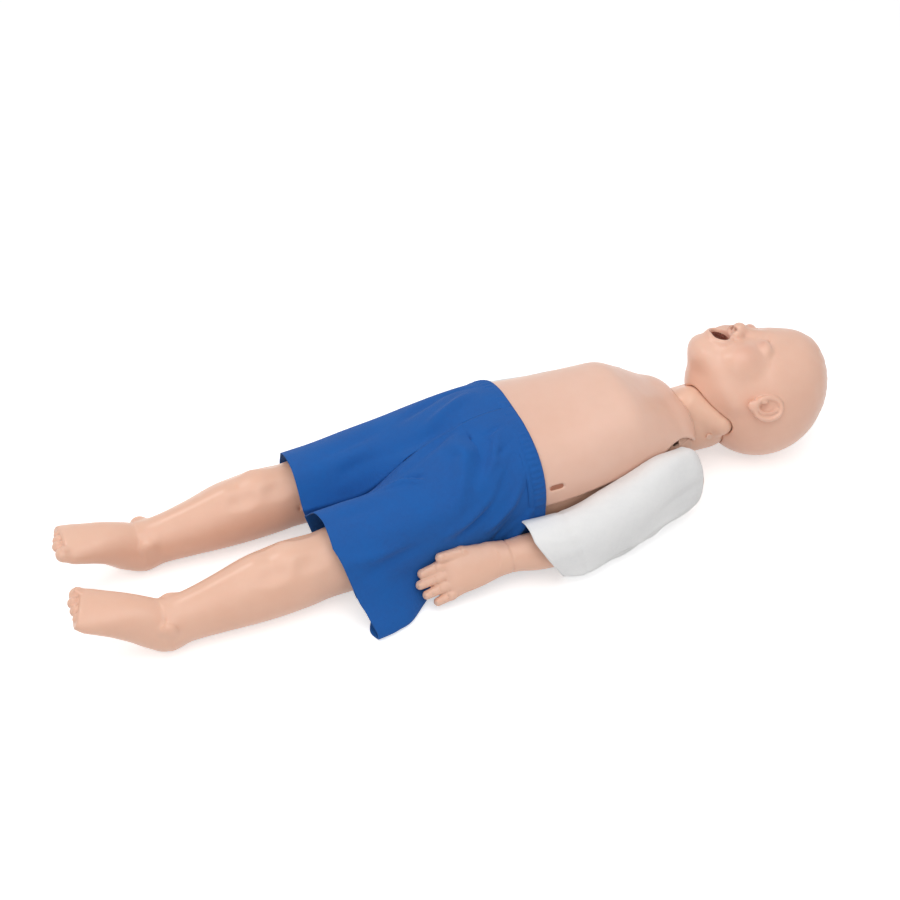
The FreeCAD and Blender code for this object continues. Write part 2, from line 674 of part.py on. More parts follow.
def make_shoulder_nut():
    """Hexagon nut and washer on the inside of the tray's boss."""
    washer_y = BOSS_INNER_Y - WASHER_THICK
    washer = cylinder_y(WASHER_RADIUS, SHOULDER_X, SHOULDER_Z, washer_y, BOSS_INNER_Y)
    corners = []
    for step in range(7):
        angle = math.radians(60 * step)
        x = SHOULDER_X + NUT_RADIUS * math.cos(angle)
        z = SHOULDER_Z + NUT_RADIUS * math.sin(angle)
        corners.append(Vector(x, washer_y - NUT_THICK, z))
    nut = Part.Face(Part.makePolygon(corners)).extrude(Vector(0, NUT_THICK, 0))
    nut = nut.fuse(washer).cut(cylinder_y(BOLT_RADIUS, SHOULDER_X, SHOULDER_Z, 0, BOSS_INNER_Y + 1))
    return nut.removeSplitter()


def sleeve_form(inset, full):
    """Form of the right sleeve from rows of (x, inner side, outer side, low, high)."""
    face = SHOULDER_FACE_Y
    rows = [
        (SLEEVE_TOP_X, face - 6, 126.0, 18.0, 88.0 + 0.5 * full),
        (SLEEVE_TOP_X - 9, face - 8, 131.0, 11.0, 91.0 + 0.9 * full),
        (80.0, face - 6, 135.0 + 0.2 * full, 7.0, 93.0 + full),
        (42.0, face + 4.0, 144.0 + 0.4 * full, 5.0, 91.0 + full),
        (0.0, face + 15, 155.0 + 0.6 * full, 4.0, 84.0 + 0.9 * full),
        (-45.0, face + 25, 165.0 + 0.8 * full, 3.0, 78.0 + 0.8 * full),
        (-85.0, face + 35, 170.0 + full, 2.5, 75.0 + 0.7 * full),
        (-127.0, face + 34, 169.0 + 0.6 * full, 2.5, 75.0 + 0.5 * full),
        (CUFF_HIGH_X - 4, face + 32, 165.0 + 0.4 * full, 2.5, 75.0 + 0.4 * full),
    ]
    wires = []
    for x, inner, outer, low, high in rows:
        centre = Vector(x, (inner + outer) / 2, (low + high) / 2)
        across = (outer - inner) / 2 - inset
        wires.append(oval(centre, Vector(0, 1, 0), Vector(0, 0, 1), across, (high - low) / 2 - inset, 2.2))
    return loft(wires)


def make_sleeve(full):
    """Loose cloth sleeve of the right side, open at the cuff and round the shoulder's face."""
    closed_x = SLEEVE_TOP_X - CLOTH_WALL
    hollow = sleeve_form(CLOTH_WALL, full).common(box((-300, 0, -50), (closed_x, 400, 300)))
    sleeve = sleeve_form(0, full).cut(hollow)
    sleeve = sleeve.cut(box((-20, 0, -50), (200, SHOULDER_FACE_Y + SLEEVE_EDGE_GAP, 200)))
    sleeve = sleeve.cut(box((12, 0, -50), (200, SHOULDER_FACE_Y + 11, SKIN_HEM_Z - 2)))
    sleeve = sleeve.cut(torso(-SEAT_GAP))
    corners = [Vector(CUFF_LOW_X, 0, 0), Vector(-300, 0, 0), Vector(-300, 0, 90), Vector(CUFF_HIGH_X, 0, 90)]
    corners.append(corners[0])
    return sleeve.cut(Part.Face(Part.makePolygon(corners)).extrude(Vector(0, 400, 0)))


def leg_stations(heel_y, bow):
    """Leg centres and half sizes of the right side, from hip to ankle."""
    rows = [
        (HIP_X + 50, HIP_Z + 2.0, 47.0, HIP_DRUM_RADIUS - 1.0),
        (HIP_X, HIP_Z, 47.2, HIP_DRUM_RADIUS - 0.5),
        (-262.0, 57.0, 46.8, 50.5),
        (-320.0, 54.0, 46.0, 48.0),
        (-375.0, 50.0, 43.5, 45.0),
        (-405.0, 47.5, 41.5, 43.5),
        (-432.0, 47.0, 43.5, 45.0),
        (-465.0, 46.0, 43.5, 45.0),
        (-500.0, 44.0, 41.0, 42.0),
        (-540.0, 40.0, 35.0, 36.0),
        (-575.0, 37.0, 30.5, 32.0),
        (-604.0, 35.0, 28.5, 31.0),
    ]
    stations = []
    for x, z, across, upward in rows:
        share = (HIP_X - x) / (HIP_X - HEEL_X)
        y = HIP_CENTRE_Y + (heel_y - HIP_CENTRE_Y) * share + bow * math.sin(math.pi * share) ** 2
        stations.append((Vector(x, y, z), across, upward))
    return stations


def foot_pieces(heel_y, toe_y):
    """Heel, foot and toes of the right side."""
    heel = Vector(HEEL_X, heel_y, HEEL_RADIUS + HEEL_LIFT)
    along = Vector(TOE_X, toe_y, TOE_Z) - heel
    length = along.Length
    along.normalize()
    across = Vector(0, 0, 1).cross(along) * -1.0
    across.normalize()
    upward = across.cross(along)
    if upward.z < 0:
        upward = upward * -1.0
    sections = [
        (-0.06, 0.0, 26.0, 26.0),
        (0.10, 0.0, 28.5, 30.0),
        (0.30, 1.0, 28.0, 29.0),
        (0.50, 0.0, 29.0, 25.0),
        (0.68, -3.0, 31.0, 20.0),
        (0.82, -5.5, 32.5, 16.0),
        (0.91, -6.5, 31.0, 12.5),
    ]
    wires = []
    for share, lift, half, thick in sections:
        at = heel + along * (share * length) + upward * lift
        wires.append(oval(at, across, upward, half, thick))
    pieces = [loft(wires), Part.makeSphere(HEEL_RADIUS, heel)]
    toes = [(-21.0, 9.6, 1.02), (-7.0, 7.0, 1.03), (4.8, 6.6, 1.00), (15.6, 6.2, 0.965), (25.2, 5.8, 0.92)]
    for offset, radius, share in toes:
        start = heel + along * (0.82 * length) + across * offset + upward * -7.0
        end = heel + along * (share * length - radius) + across * offset + upward * -6.0
        pieces.append(capsule(start, end, radius, radius))
    return pieces


def make_leg(heel_y, toe_y, bow):
    """One-piece vinyl leg of the right side, lying with its heel and toes where asked."""
    leg = tube(leg_stations(heel_y, bow))
    top = drum(HIP_DRUM_RADIUS, HIP_X, HIP_Z, HIP_FACE_Y, HIP_CENTRE_Y, HIP_CENTRE_Y + 46.5)
    leg = leg.cut(box((HIP_X, -200, -10), (0, 300, 300)))
    leg = leg.cut(box((INNER_THIGH_END_X, -200, -10), (0, HIP_FACE_Y, 300)))
    for piece in [top] + foot_pieces(heel_y, toe_y):
        leg = leg.fuse(piece)
    return bolt_bored(leg, HIP_ROD_RADIUS, HIP_X, HIP_Z, HIP_HEAD_Y)


def make_pelvis_block():
    """Block between the thighs, standing on the tray."""
    half = HIP_FACE_Y - BODY_GAP
    block = cylinder_y(PELVIS_RADIUS, HIP_X, HIP_Z, -half, half)
    block = block.fuse(pelvis_foot(0))
    return block.cut(cylinder_y(HIP_ROD_RADIUS, HIP_X, HIP_Z, -half - 1, half + 1)).removeSplitter()


def make_hip_rod():
    """Rod through the pelvis block with a head held in each thigh."""
    rod = cylinder_y(HIP_ROD_RADIUS, HIP_X, HIP_Z, -HIP_HEAD_Y, HIP_HEAD_Y)
    half = BOLT_HEAD_THICK / 2
    head = cylinder_y(BOLT_HEAD_RADIUS, HIP_X, HIP_Z, HIP_HEAD_Y - half, HIP_HEAD_Y + half)
    return rod.fuse([head, mirrored(head)]).removeSplitter()


def cloth_hips(inset):
    """Shorts round the hips, following the torso's form."""
    ease = CLOTH_WALL + 3 * SEAT_GAP
    rows = [
        (CROTCH_X, TORSO_WAIST_HALF + 3.0, BELLY_TOP - 38.0, TORSO_UNDER),
        (-252.0, TORSO_WAIST_HALF + 3.0, BELLY_TOP - 23.0, TORSO_UNDER),
        (HIP_X - 10, TORSO_WAIST_HALF + 2.0, BELLY_TOP - 10.0, TORSO_UNDER),
    ]
    rows += [(x, half + ease, top + ease, under) for x, half, top, under in torso_stations()]
    wires = []
    for x, half, top, under in rows:
        centre = Vector(x, 0, (top + under) / 2)
        half_up = (top - under) / 2 - inset
        wires.append(oval(centre, Vector(0, 1, 0), Vector(0, 0, 1), half - inset, half_up, TORSO_POWER, 20))
    return loft(wires)


def drawn_in(ring, amount):
    """Points of a closed (y, z) outline, moved inwards by an amount."""
    moved = []
    count = len(ring)
    for index, (y, z) in enumerate(ring):
        last_y, last_z = ring[index - 1]
        next_y, next_z = ring[(index + 1) % count]
        run_y = next_y - last_y
        run_z = next_z - last_z
        length = math.hypot(run_y, run_z)
        moved.append((y + amount * run_z / length, z - amount * run_y / length))
    return moved


def cloth_leg(inset):
    """Right leg of the shorts, flaring to the floor at the hem."""
    rows = [
        (LEG_CLOTH_START_X, 4.0, 138.0, 128.0, 114.0, 109.8, 108.0),
        (-270.0, 3.0, 131.0, 123.0, 111.0, 112.6, 114.0),
        (-320.0, 2.0, 122.0, 118.0, 107.0, 117.5, 131.0),
        (-365.0, 3.0, 115.0, 112.0, 102.0, 130.0, 164.0),
        (HEM_X, 5.0, 111.0, 108.0, 97.0, 132.0, 172.0),
    ]
    wires = []
    for x, inner, top, shoulder, outer_z, side, outer in rows:
        ring = [
            (inner, 50.0),
            (inner + 10, top - 24),
            (52.0, top),
            (82.0, shoulder),
            (105.0, outer_z - 10),
            (side, 56.0),
            (outer, 6.0),
            (outer - 30, -2.0),
            (64.0, -3.0),
            (inner + 14, -1.0),
        ]
        ring.reverse()
        wires.append(spline([Vector(x, y, z) for y, z in drawn_in(ring, -inset)]))
    return loft(wires)


def hem_slant():
    """Room for the cloth, cut off at a slant towards the outer corners of the hem."""
    outline = [(WAIST_X, -300), (WAIST_X, 300), (HEM_CORNERS[0][0], 300)] + HEM_CORNERS
    outline += [(HEM_CORNERS[-1][0], -300), (WAIST_X, -300)]
    corners = [Vector(x, y, CLOTH_LOW_Z) for x, y in outline]
    return Part.Face(Part.makePolygon(corners)).extrude(Vector(0, 0, 300))


def make_shorts():
    """Cloth shorts with a waist opening and two leg openings."""
    leg = cloth_leg(0)
    outer = cloth_hips(0).fuse([leg, mirrored(leg)]).common(hem_slant())
    floor_z = CLOTH_LOW_Z + CLOTH_WALL
    inner_leg = cloth_leg(CLOTH_WALL).common(slab(HEM_X - 1, 0, floor_z, 300))
    room = cloth_hips(CLOTH_WALL).common(slab(CROTCH_X + CLOTH_WALL, 0, floor_z, 300))
    return outer.cut(room).cut(inner_leg).cut(mirrored(inner_leg))


def side_pair(name, right_shape):
    """Left and right copies of a piece made for the right side."""
    return {"right_" + name: right_shape, "left_" + name: mirrored(right_shape)}


def make_parts():
    """All pieces by name."""
    parts = {
        "back_shell": make_back_shell(),
        "abdomen_foam": make_abdomen_foam(),
        "chest_skin": make_chest_skin(),
        "spring_seat": make_spring_seat(),
        "seat_screws": make_seat_screws(),
        "compression_spring": make_spring(),
        "chest_plate": make_chest_plate(),
        "lung_bag": make_lung_bag(),
        "neck_block": make_neck_block(),
        "neck": make_neck(),
        "neck_nut": make_neck_nut(),
        "head": make_head(),
        "head_pin": head_pin_rod(0, HEAD_PIN_HALF),
        "mouth_liner": make_mouth_liner(),
        "pelvis_block": make_pelvis_block(),
        "hip_rod": make_hip_rod(),
        "shorts": make_shorts(),
        "right_sleeve": make_sleeve(RIGHT_SLEEVE_FULLNESS),
        "left_sleeve": mirrored(make_sleeve(LEFT_SLEEVE_FULLNESS)),
    }
    parts.update(side_pair("skin_peg", make_skin_peg()))
    parts.update(side_pair("shoulder_bolt", make_shoulder_bolt()))
    parts.update(side_pair("shoulder_nut", make_shoulder_nut()))
    parts.update(side_pair("arm", make_arm()))
    parts["right_leg"] = make_leg(RIGHT_HEEL_Y, TOE_Y, RIGHT_KNEE_BOW)
    parts["left_leg"] = mirrored(make_leg(LEFT_HEEL_Y, TOE_Y, LEFT_KNEE_BOW))
    return parts


def main():
    """Write one file for each piece."""
    os.makedirs("parts", exist_ok=True)
    for name, shape in make_parts().items():
        solids = len(shape.Solids)
        print(name, "valid", shape.isValid(), "solids", solids, "volume", round(shape.Volume / 1000, 1))
        shape.exportStep("parts/" + name + ".step")


main()
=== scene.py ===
"""Looks of a child training manikin lying on its back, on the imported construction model.

Forms are sculpted in millimetres as smooth distance fields or drawn as cloth grids, in the model's
own frame: origin on the floor under the compression point, +X to the head, +Z up, left side -Y.
"""

import json
import logging
import math
from dataclasses import dataclass, field
from enum import Enum
from typing import Callable, Sequence

import bmesh
import bpy
import numpy as np
from mathutils import Matrix, Vector

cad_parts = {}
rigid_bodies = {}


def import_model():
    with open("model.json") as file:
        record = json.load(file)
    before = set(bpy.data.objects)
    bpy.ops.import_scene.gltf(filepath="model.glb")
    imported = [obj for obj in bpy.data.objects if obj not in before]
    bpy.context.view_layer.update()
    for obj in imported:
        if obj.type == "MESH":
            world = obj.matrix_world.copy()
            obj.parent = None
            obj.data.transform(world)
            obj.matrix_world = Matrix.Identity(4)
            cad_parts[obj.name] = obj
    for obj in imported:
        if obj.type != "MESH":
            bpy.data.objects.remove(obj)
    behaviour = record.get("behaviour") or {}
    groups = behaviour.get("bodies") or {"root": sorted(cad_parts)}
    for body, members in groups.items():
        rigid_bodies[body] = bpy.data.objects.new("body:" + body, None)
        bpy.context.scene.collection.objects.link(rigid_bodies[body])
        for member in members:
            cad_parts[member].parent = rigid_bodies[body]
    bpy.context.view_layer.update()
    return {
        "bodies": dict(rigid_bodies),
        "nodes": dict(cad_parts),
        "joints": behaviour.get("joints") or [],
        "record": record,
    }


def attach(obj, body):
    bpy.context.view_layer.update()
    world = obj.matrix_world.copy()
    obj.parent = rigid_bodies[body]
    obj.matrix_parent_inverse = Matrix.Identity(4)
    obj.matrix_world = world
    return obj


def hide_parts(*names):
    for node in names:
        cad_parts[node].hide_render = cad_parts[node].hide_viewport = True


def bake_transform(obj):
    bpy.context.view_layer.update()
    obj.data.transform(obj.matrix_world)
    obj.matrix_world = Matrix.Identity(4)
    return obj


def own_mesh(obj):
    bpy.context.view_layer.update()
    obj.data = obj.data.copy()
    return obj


LOG = logging.getLogger("manikin")
MM = 0.001
Array = np.ndarray
Field = Callable[[Array], Array]
Triple = tuple[float, float, float]


class Side(Enum):
    """Side of the manikin, as the sign of Y."""

    RIGHT = 1
    LEFT = -1

    @property
    def prefix(self) -> str:
        """First word of the names on this side."""
        return self.name.lower()


# Measures shared with the construction model
TORSO_ROWS = [
    (-188.0, 106.0, 156.0, -8.0),
    (-155.0, 108.0, 163.0, -8.0),
    (-122.0, 108.0, 163.0, -8.0),
    (-80.0, 107.0, 160.0, -8.0),
    (-40.0, 102.0, 161.0, -8.0),
    (0.0, 96.0, 164.0, -8.0),
    (28.0, 92.0, 165.0, -8.0),
    (50.0, 89.0, 155.0, -7.0),
    (70.0, 86.0, 143.0, -5.0),
    (94.0, 80.0, 129.0, -1.0),
    (112.0, 74.0, 122.0, 6.0),
    (122.0, 67.0, 116.0, 14.0),
    (127.0, 56.0, 110.0, 26.0),
    (131.0, 44.0, 100.0, 38.0),
]
SHOULDER = (85.0, 0.0, 57.0)
NECK_BALL = (168.0, 0.0, 64.0)
HEAD_SCALE = 1.085
HEAD_CENTRE = (244.0, 0.0, 98.0)
HEAD_TILT, HEAD_TURN, HEAD_LEAN = 7.0, -14.0, -15.0


def unit(vector: Sequence[float]) -> Array:
    """Direction of a vector."""
    v = np.asarray(vector, float)
    return v / np.linalg.norm(v)


def turn(axis: str, degrees: float) -> Array:
    """Rotation matrix about one axis."""
    return np.array(Matrix.Rotation(math.radians(degrees), 3, axis))


@dataclass
class Frame:
    """Local frame with an origin and the directions of its three axes as rows."""

    origin: Sequence[float] = (0.0, 0.0, 0.0)
    axes: Array = field(default_factory=lambda: np.eye(3))

    def local(self, points: Array) -> Array:
        """World points in this frame."""
        return (points - np.asarray(self.origin)) @ np.asarray(self.axes).T

    def world(self, point: Sequence[float]) -> Array:
        """A local point in the world."""
        return np.asarray(self.origin) + np.asarray(point, float) @ np.asarray(self.axes)


def eased(values: Array, low: float, high: float) -> Array:
    """Smooth step from 0 at low to 1 at high."""
    t = np.clip((values - low) / (high - low), 0.0, 1.0)
    return t * t * (3.0 - 2.0 * t)


def curve_rows(rows: Sequence[Sequence[float]], count: int) -> Array:
    """Rows of numbers, resampled along a Catmull-Rom curve through them.

    Args:
        rows: control rows, the first number rising.
        count: how many rows to return.

    Returns:
        Array of count rows.
    """
    table = np.asarray(rows, float)
    padded = np.vstack([2 * table[0] - table[1], table, 2 * table[-1] - table[-2]])
    at = np.linspace(0, len(table) - 1, count)
    i = np.minimum(at.astype(int), len(table) - 2)
    t = (at - i)[:, None]
    p0, p1, p2, p3 = padded[i], padded[i + 1], padded[i + 2], padded[i + 3]
    return 0.5 * (
        2 * p1 + (p2 - p0) * t + (2 * p0 - 5 * p1 + 4 * p2 - p3) * t**2 + (3 * p1 - p0 - 3 * p2 + p3) * t**3
    )


# Forms: each returns a field, negative inside


def egg(centre: Sequence[float], radii: Sequence[float], turned: Array | None = None) -> Field:
    """Ellipsoid with its own radii along its three axes."""
    c = np.asarray(centre, float)
    r = np.asarray(radii, float)

    def distance(p: Array) -> Array:
        q = p - c
        if turned is not None:
            q = q @ turned
        near = np.sqrt(((q / r) ** 2).sum(1)) + 1e-9
        slope = np.sqrt(((q / r**2) ** 2).sum(1)) + 1e-9
        return near * (near - 1.0) / slope

    return distance


def limb(start: Sequence[float], end: Sequence[float], first: float, last: float) -> Field:
    """Round-ended cone between two points."""
    a = np.asarray(start, float)
    run = np.asarray(end, float) - a
    span = float(run @ run)

    def distance(p: Array) -> Array:
        t = np.clip((p - a) @ run / span, 0.0, 1.0)
        return np.sqrt((((p - a) - t[:, None] * run) ** 2).sum(1)) - (first + (last - first) * t)

    return distance


def strand(points: Sequence[Sequence[float]], radius: float, end_radius: float | None = None) -> Field:
    """Round line through points, tapering to the end radius."""
    count = len(points) - 1
    tip = radius if end_radius is None else end_radius
    sizes = [radius + (tip - radius) * i / count for i in range(count + 1)]
    parts = [limb(points[i], points[i + 1], sizes[i], sizes[i + 1]) for i in range(count)]
    return lambda p: np.min([part(p) for part in parts], axis=0)


def hoop(
    centre: Sequence[float], half: tuple[float, float], radius: float, axes: Array | None = None
) -> Field:
    """Elliptical ring in the plane of the first two axes."""
    frame = Frame(centre, np.eye(3) if axes is None else axes)
    a, b = half

    def distance(p: Array) -> Array:
        q = frame.local(p)
        near = np.hypot(q[:, 0] / a, q[:, 1] / b) + 1e-6
        slope = np.hypot(q[:, 0] / a**2, q[:, 1] / b**2) + 1e-6
        flat = near * (near - 1.0) / slope
        return np.hypot(flat, q[:, 2]) - radius

    return distance


def swept(rows: Sequence[Sequence[float]], power: float = 2.0, frame: Frame | None = None) -> Field:
    """Superellipse sections along the first axis of a frame.

    Args:
        rows: (along, across, up, half across, half up) for each section.
        power: 2 for ellipses, more for squarer sections.
        frame: local frame, or the world's.

    Returns:
        Field with flat ends.
    """
    table = curve_rows(rows, 240)
    place = frame or Frame()

    def distance(p: Array) -> Array:
        q = place.local(p)
        across, up, wide, tall = (np.interp(q[:, 0], table[:, 0], table[:, k]) for k in range(1, 5))
        u = np.abs(q[:, 1] - across)
        v = np.abs(q[:, 2] - up)
        near = ((u / wide) ** power + (v / tall) ** power) ** (1.0 / power) + 1e-6
        slope = np.hypot((u / wide) ** (power - 1) / wide, (v / tall) ** (power - 1) / tall)
        slope = slope * near ** (1 - power) + 1e-6
        side = np.maximum((near - 1.0) / slope, -np.minimum(wide, tall))
        ends = np.maximum(q[:, 0] - table[-1, 0], table[0, 0] - q[:, 0])
        return np.maximum(side, ends)

    return distance


def rod(axis: int, centre: Sequence[float], radius: float, low: float, high: float) -> Field:
    """Cylinder along a world axis between two values."""
    others = [k for k in range(3) if k != axis]

    def distance(p: Array) -> Array:
        flat = np.hypot(p[:, others[0]] - centre[others[0]], p[:, others[1]] - centre[others[1]])
        return np.maximum(flat - radius, np.maximum(p[:, axis] - high, low - p[:, axis]))

    return distance


def beyond(axis: int, value: float, sign: float = 1.0) -> Field:
    """Everything past a value along an axis."""
    return lambda p: (value - p[:, axis]) * sign


def within(form: Field, frame: Frame) -> Field:
    """Form given in a local frame."""
    return lambda p: form(frame.local(p))


def joined(a: Array, b: Array, soft: float) -> Array:
    """Smooth smaller of two distances."""
    h = np.clip(0.5 + 0.5 * (b - a) / soft, 0.0, 1.0)
    return b + (a - b) * h - soft * h * (1.0 - h)


class Clay:
    """Solid built up from forms that are smoothly added, carved or kept."""

    def __init__(self) -> None:
        """Start with nothing."""
        self.steps: list[tuple[str, Field, float]] = []

    def add(self, form: Field, soft: float = 1.0) -> "Clay":
        """Join a form on."""
        self.steps.append(("add", form, soft))
        return self

    def carve(self, form: Field, soft: float = 1.0) -> "Clay":
        """Take a form away."""
        self.steps.append(("carve", form, soft))
        return self

    def keep(self, form: Field, soft: float = 0.5) -> "Clay":
        """Keep only what is inside a form."""
        self.steps.append(("keep", form, soft))
        return self

    def swell(self, form: Field) -> "Clay":
        """Raise the surface by a height field in millimetres."""
        self.steps.append(("swell", form, 0.0))
        return self

    def __call__(self, p: Array) -> Array:
        """Signed distance at points."""
        total = np.full(len(p), 1e3)
        for kind, form, soft in self.steps:
            value = form(p)
            if kind == "add":
                total = joined(total, value, soft)
            elif kind == "carve":
                total = -joined(-total, value, soft)
            elif kind == "keep":
                total = -joined(-total, -value, soft)
            else:
                total = total - value
        return total


class Mesher:
    """Turns a field into a smooth quad mesh on a grid of cells."""

    def __init__(self, low: Sequence[float], high: Sequence[float], cell: float) -> None:
        """Set the box and the cell's side, in millimetres."""
        self.low = np.asarray(low, float)
        self.cell = cell
        self.counts = [int(math.ceil((h - l) / cell)) + 1 for l, h in zip(low, high)]

    def points(self, index: Array) -> Array:
        """World points of grid indices."""
        return self.low + index * self.cell

    def values(self, shape: Field) -> Array:
        """Field on the grid, exact only near the surface."""
        step = 4
        coarse_counts = [(n - 1) // step + 2 for n in self.counts]
        coarse_steps = [np.arange(n) for n in coarse_counts]
        index = np.stack(np.meshgrid(*coarse_steps, indexing="ij"), -1).reshape(-1, 3)
        coarse = shape(self.points(index * float(step))).reshape(coarse_counts)
        nearest = [(np.arange(n) + step // 2) // step for n in self.counts]
        grid = coarse[np.ix_(*nearest)]
        close = np.argwhere(np.abs(grid) < self.cell * step * 1.5)
        for start in range(0, len(close), 300000):
            part = close[start : start + 300000]
            grid[part[:, 0], part[:, 1], part[:, 2]] = shape(self.points(part.astype(float)))
        return grid

    def mesh(self, shape: Field, passes: int = 2) -> tuple[Array, Array]:
        """Vertices and quads of the field's surface.

        Args:
            shape: the field.
            passes: smoothing passes before the vertices go back to the surface.

        Returns:
            Vertices in millimetres, and faces of four indices.
        """
        grid = self.values(shape)
        cells = np.array(self.counts) - 1
        flats, sums, edges = [], [], []
        for axis in range(3):
            size = grid.shape[axis]
            first = np.take(grid, range(size - 1), axis)
            second = np.take(grid, range(1, size), axis)
            crossing = (first < 0) != (second < 0)
            index = np.argwhere(crossing)
            a, b = first[crossing], second[crossing]
            at = index.astype(float)
            at[:, axis] += a / (a - b)
            b_axis, c_axis = (axis + 1) % 3, (axis + 2) % 3
            corners = []
            for shift in ((-1, -1), (0, -1), (0, 0), (-1, 0)):
                cell = index.copy()
                cell[:, b_axis] += shift[0]
                cell[:, c_axis] += shift[1]
                corners.append(cell)
                ok = ((cell >= 0) & (cell < cells)).all(1)
                flats.append(np.ravel_multi_index(cell[ok].T, cells))
                sums.append(at[ok])
            whole = np.all([((c >= 0) & (c < cells)).all(1) for c in corners], axis=0)
            quad = np.stack([np.ravel_multi_index(c[whole].T, cells) for c in corners], 1)
            flip = a[whole] > 0
            quad[flip] = quad[flip][:, ::-1]
            edges.append(quad)
        flat = np.concatenate(flats)
        at = np.concatenate(sums)
        used, inverse, number = np.unique(flat, return_inverse=True, return_counts=True)
        vertices = np.stack([np.bincount(inverse, at[:, k]) / number for k in range(3)], 1)
        vertices = self.points(vertices)
        faces = np.searchsorted(used, np.concatenate(edges))
        return self.settled(shape, vertices, faces, passes), faces

    def settled(self, shape: Field, vertices: Array, faces: Array, passes: int) -> Array:
        """Vertices smoothed along the surface and set back on it."""
        start = np.concatenate([faces[:, k] for k in range(4)])
        end = np.concatenate([faces[:, (k + 1) % 4] for k in range(4)])
        both = (np.concatenate([start, end]), np.concatenate([end, start]))
        number = np.bincount(both[0], minlength=len(vertices))[:, None]
        for _ in range(passes):
            sums = np.stack([np.bincount(both[0], vertices[both[1], k], len(vertices)) for k in range(3)], 1)
            vertices = 0.5 * vertices + 0.5 * sums / np.maximum(number, 1)
        reach = 0.3 * self.cell
        for _ in range(2):
            value = shape(vertices)
            slope = np.stack([shape(vertices + reach * np.eye(3)[k]) - value for k in range(3)], 1) / reach
            move = -(value / np.maximum((slope**2).sum(1), 0.2))[:, None] * slope
            length = np.linalg.norm(move, axis=1)[:, None] + 1e-9
            vertices = vertices + move * np.minimum(1.0, 0.6 * self.cell / length)
        return vertices


def mesh_object(name: str, vertices: Array, faces: Array, material: bpy.types.Material) -> bpy.types.Object:
    """Smooth-shaded object from vertices in millimetres."""
    mesh = bpy.data.meshes.new(name)
    mesh.from_pydata((vertices * MM).tolist(), [], faces.tolist())
    mesh.polygons.foreach_set("use_smooth", [True] * len(mesh.polygons))
    mesh.materials.append(material)
    mesh.update()
    made = bpy.data.objects.new(name, mesh)
    bpy.context.scene.collection.objects.link(made)
    return made


def sculpted(
    name: str, shape: Field, box: tuple[Triple, Triple], cell: float, material: bpy.types.Material, side: Side
) -> bpy.types.Object:
    """Object of a field made for the right side, on the side asked."""
    vertices, faces = Mesher(box[0], box[1], cell).mesh(shape)
    if side is Side.LEFT:
        vertices = vertices * np.array([1.0, -1.0, 1.0])
        faces = faces[:, ::-1]
    return mesh_object(name, vertices, faces, material)


# Shader groups and finishes


def linear(red: int, green: int, blue: int) -> tuple[float, float, float, float]:
    """Linear colour of an 8-bit display colour."""
    values = [c / 255.0 for c in (red, green, blue)]
    return (*[c / 12.92 if c <= 0.04045 else ((c + 0.055) / 1.055) ** 2.4 for c in values], 1.0)


class Group:
    """Shader node group under construction."""

    def __init__(self, name: str, inputs: dict[str, float], outputs: dict[str, str]) -> None:
        """Make the group with number inputs and outputs of the named socket types."""
        self.tree = bpy.data.node_groups.new(name, "ShaderNodeTree")
        for label, value in inputs.items():
            socket = self.tree.interface.new_socket(label, in_out="INPUT", socket_type="NodeSocketFloat")
            socket.default_value = value
        for label, kind in outputs.items():
            self.tree.interface.new_socket(label, in_out="OUTPUT", socket_type=kind)
        self.given = self.tree.nodes.new("NodeGroupInput")
        self.result = self.tree.nodes.new("NodeGroupOutput")

    def node(self, kind: str, **settings: object) -> bpy.types.Node:
        """Node of a kind with its settings."""
        return new_node(self.tree, kind, **settings)

    def link(self, a: bpy.types.NodeSocket, b: bpy.types.NodeSocket) -> None:
        """Join two sockets."""
        self.tree.links.new(a, b)

    def math(self, operation: str, a: object, b: object = 0.0, clamp: bool = False) -> bpy.types.NodeSocket:
        """Result of a sum on sockets or numbers."""
        return math_node(self.tree, operation, a, b, clamp)


def new_node(tree: bpy.types.NodeTree, kind: str, **settings: object) -> bpy.types.Node:
    """Node of a kind, with settings for its properties or, in capitals, its inputs."""
    made = tree.nodes.new(kind)
    for key, value in settings.items():
        if key[0].isupper():
            made.inputs[key.replace("_", " ")].default_value = value
        else:
            setattr(made, key, value)
    return made


def math_node(
    tree: bpy.types.NodeTree, operation: str, a: object, b: object, clamp: bool
) -> bpy.types.NodeSocket:
    """Math node's result for sockets or numbers."""
    made = tree.nodes.new("ShaderNodeMath")
    made.operation = operation
    made.use_clamp = clamp
    for socket, value in zip(made.inputs, (a, b)):
        if isinstance(value, bpy.types.NodeSocket):
            tree.links.new(value, socket)
        else:
            socket.default_value = value
    return made.outputs[0]


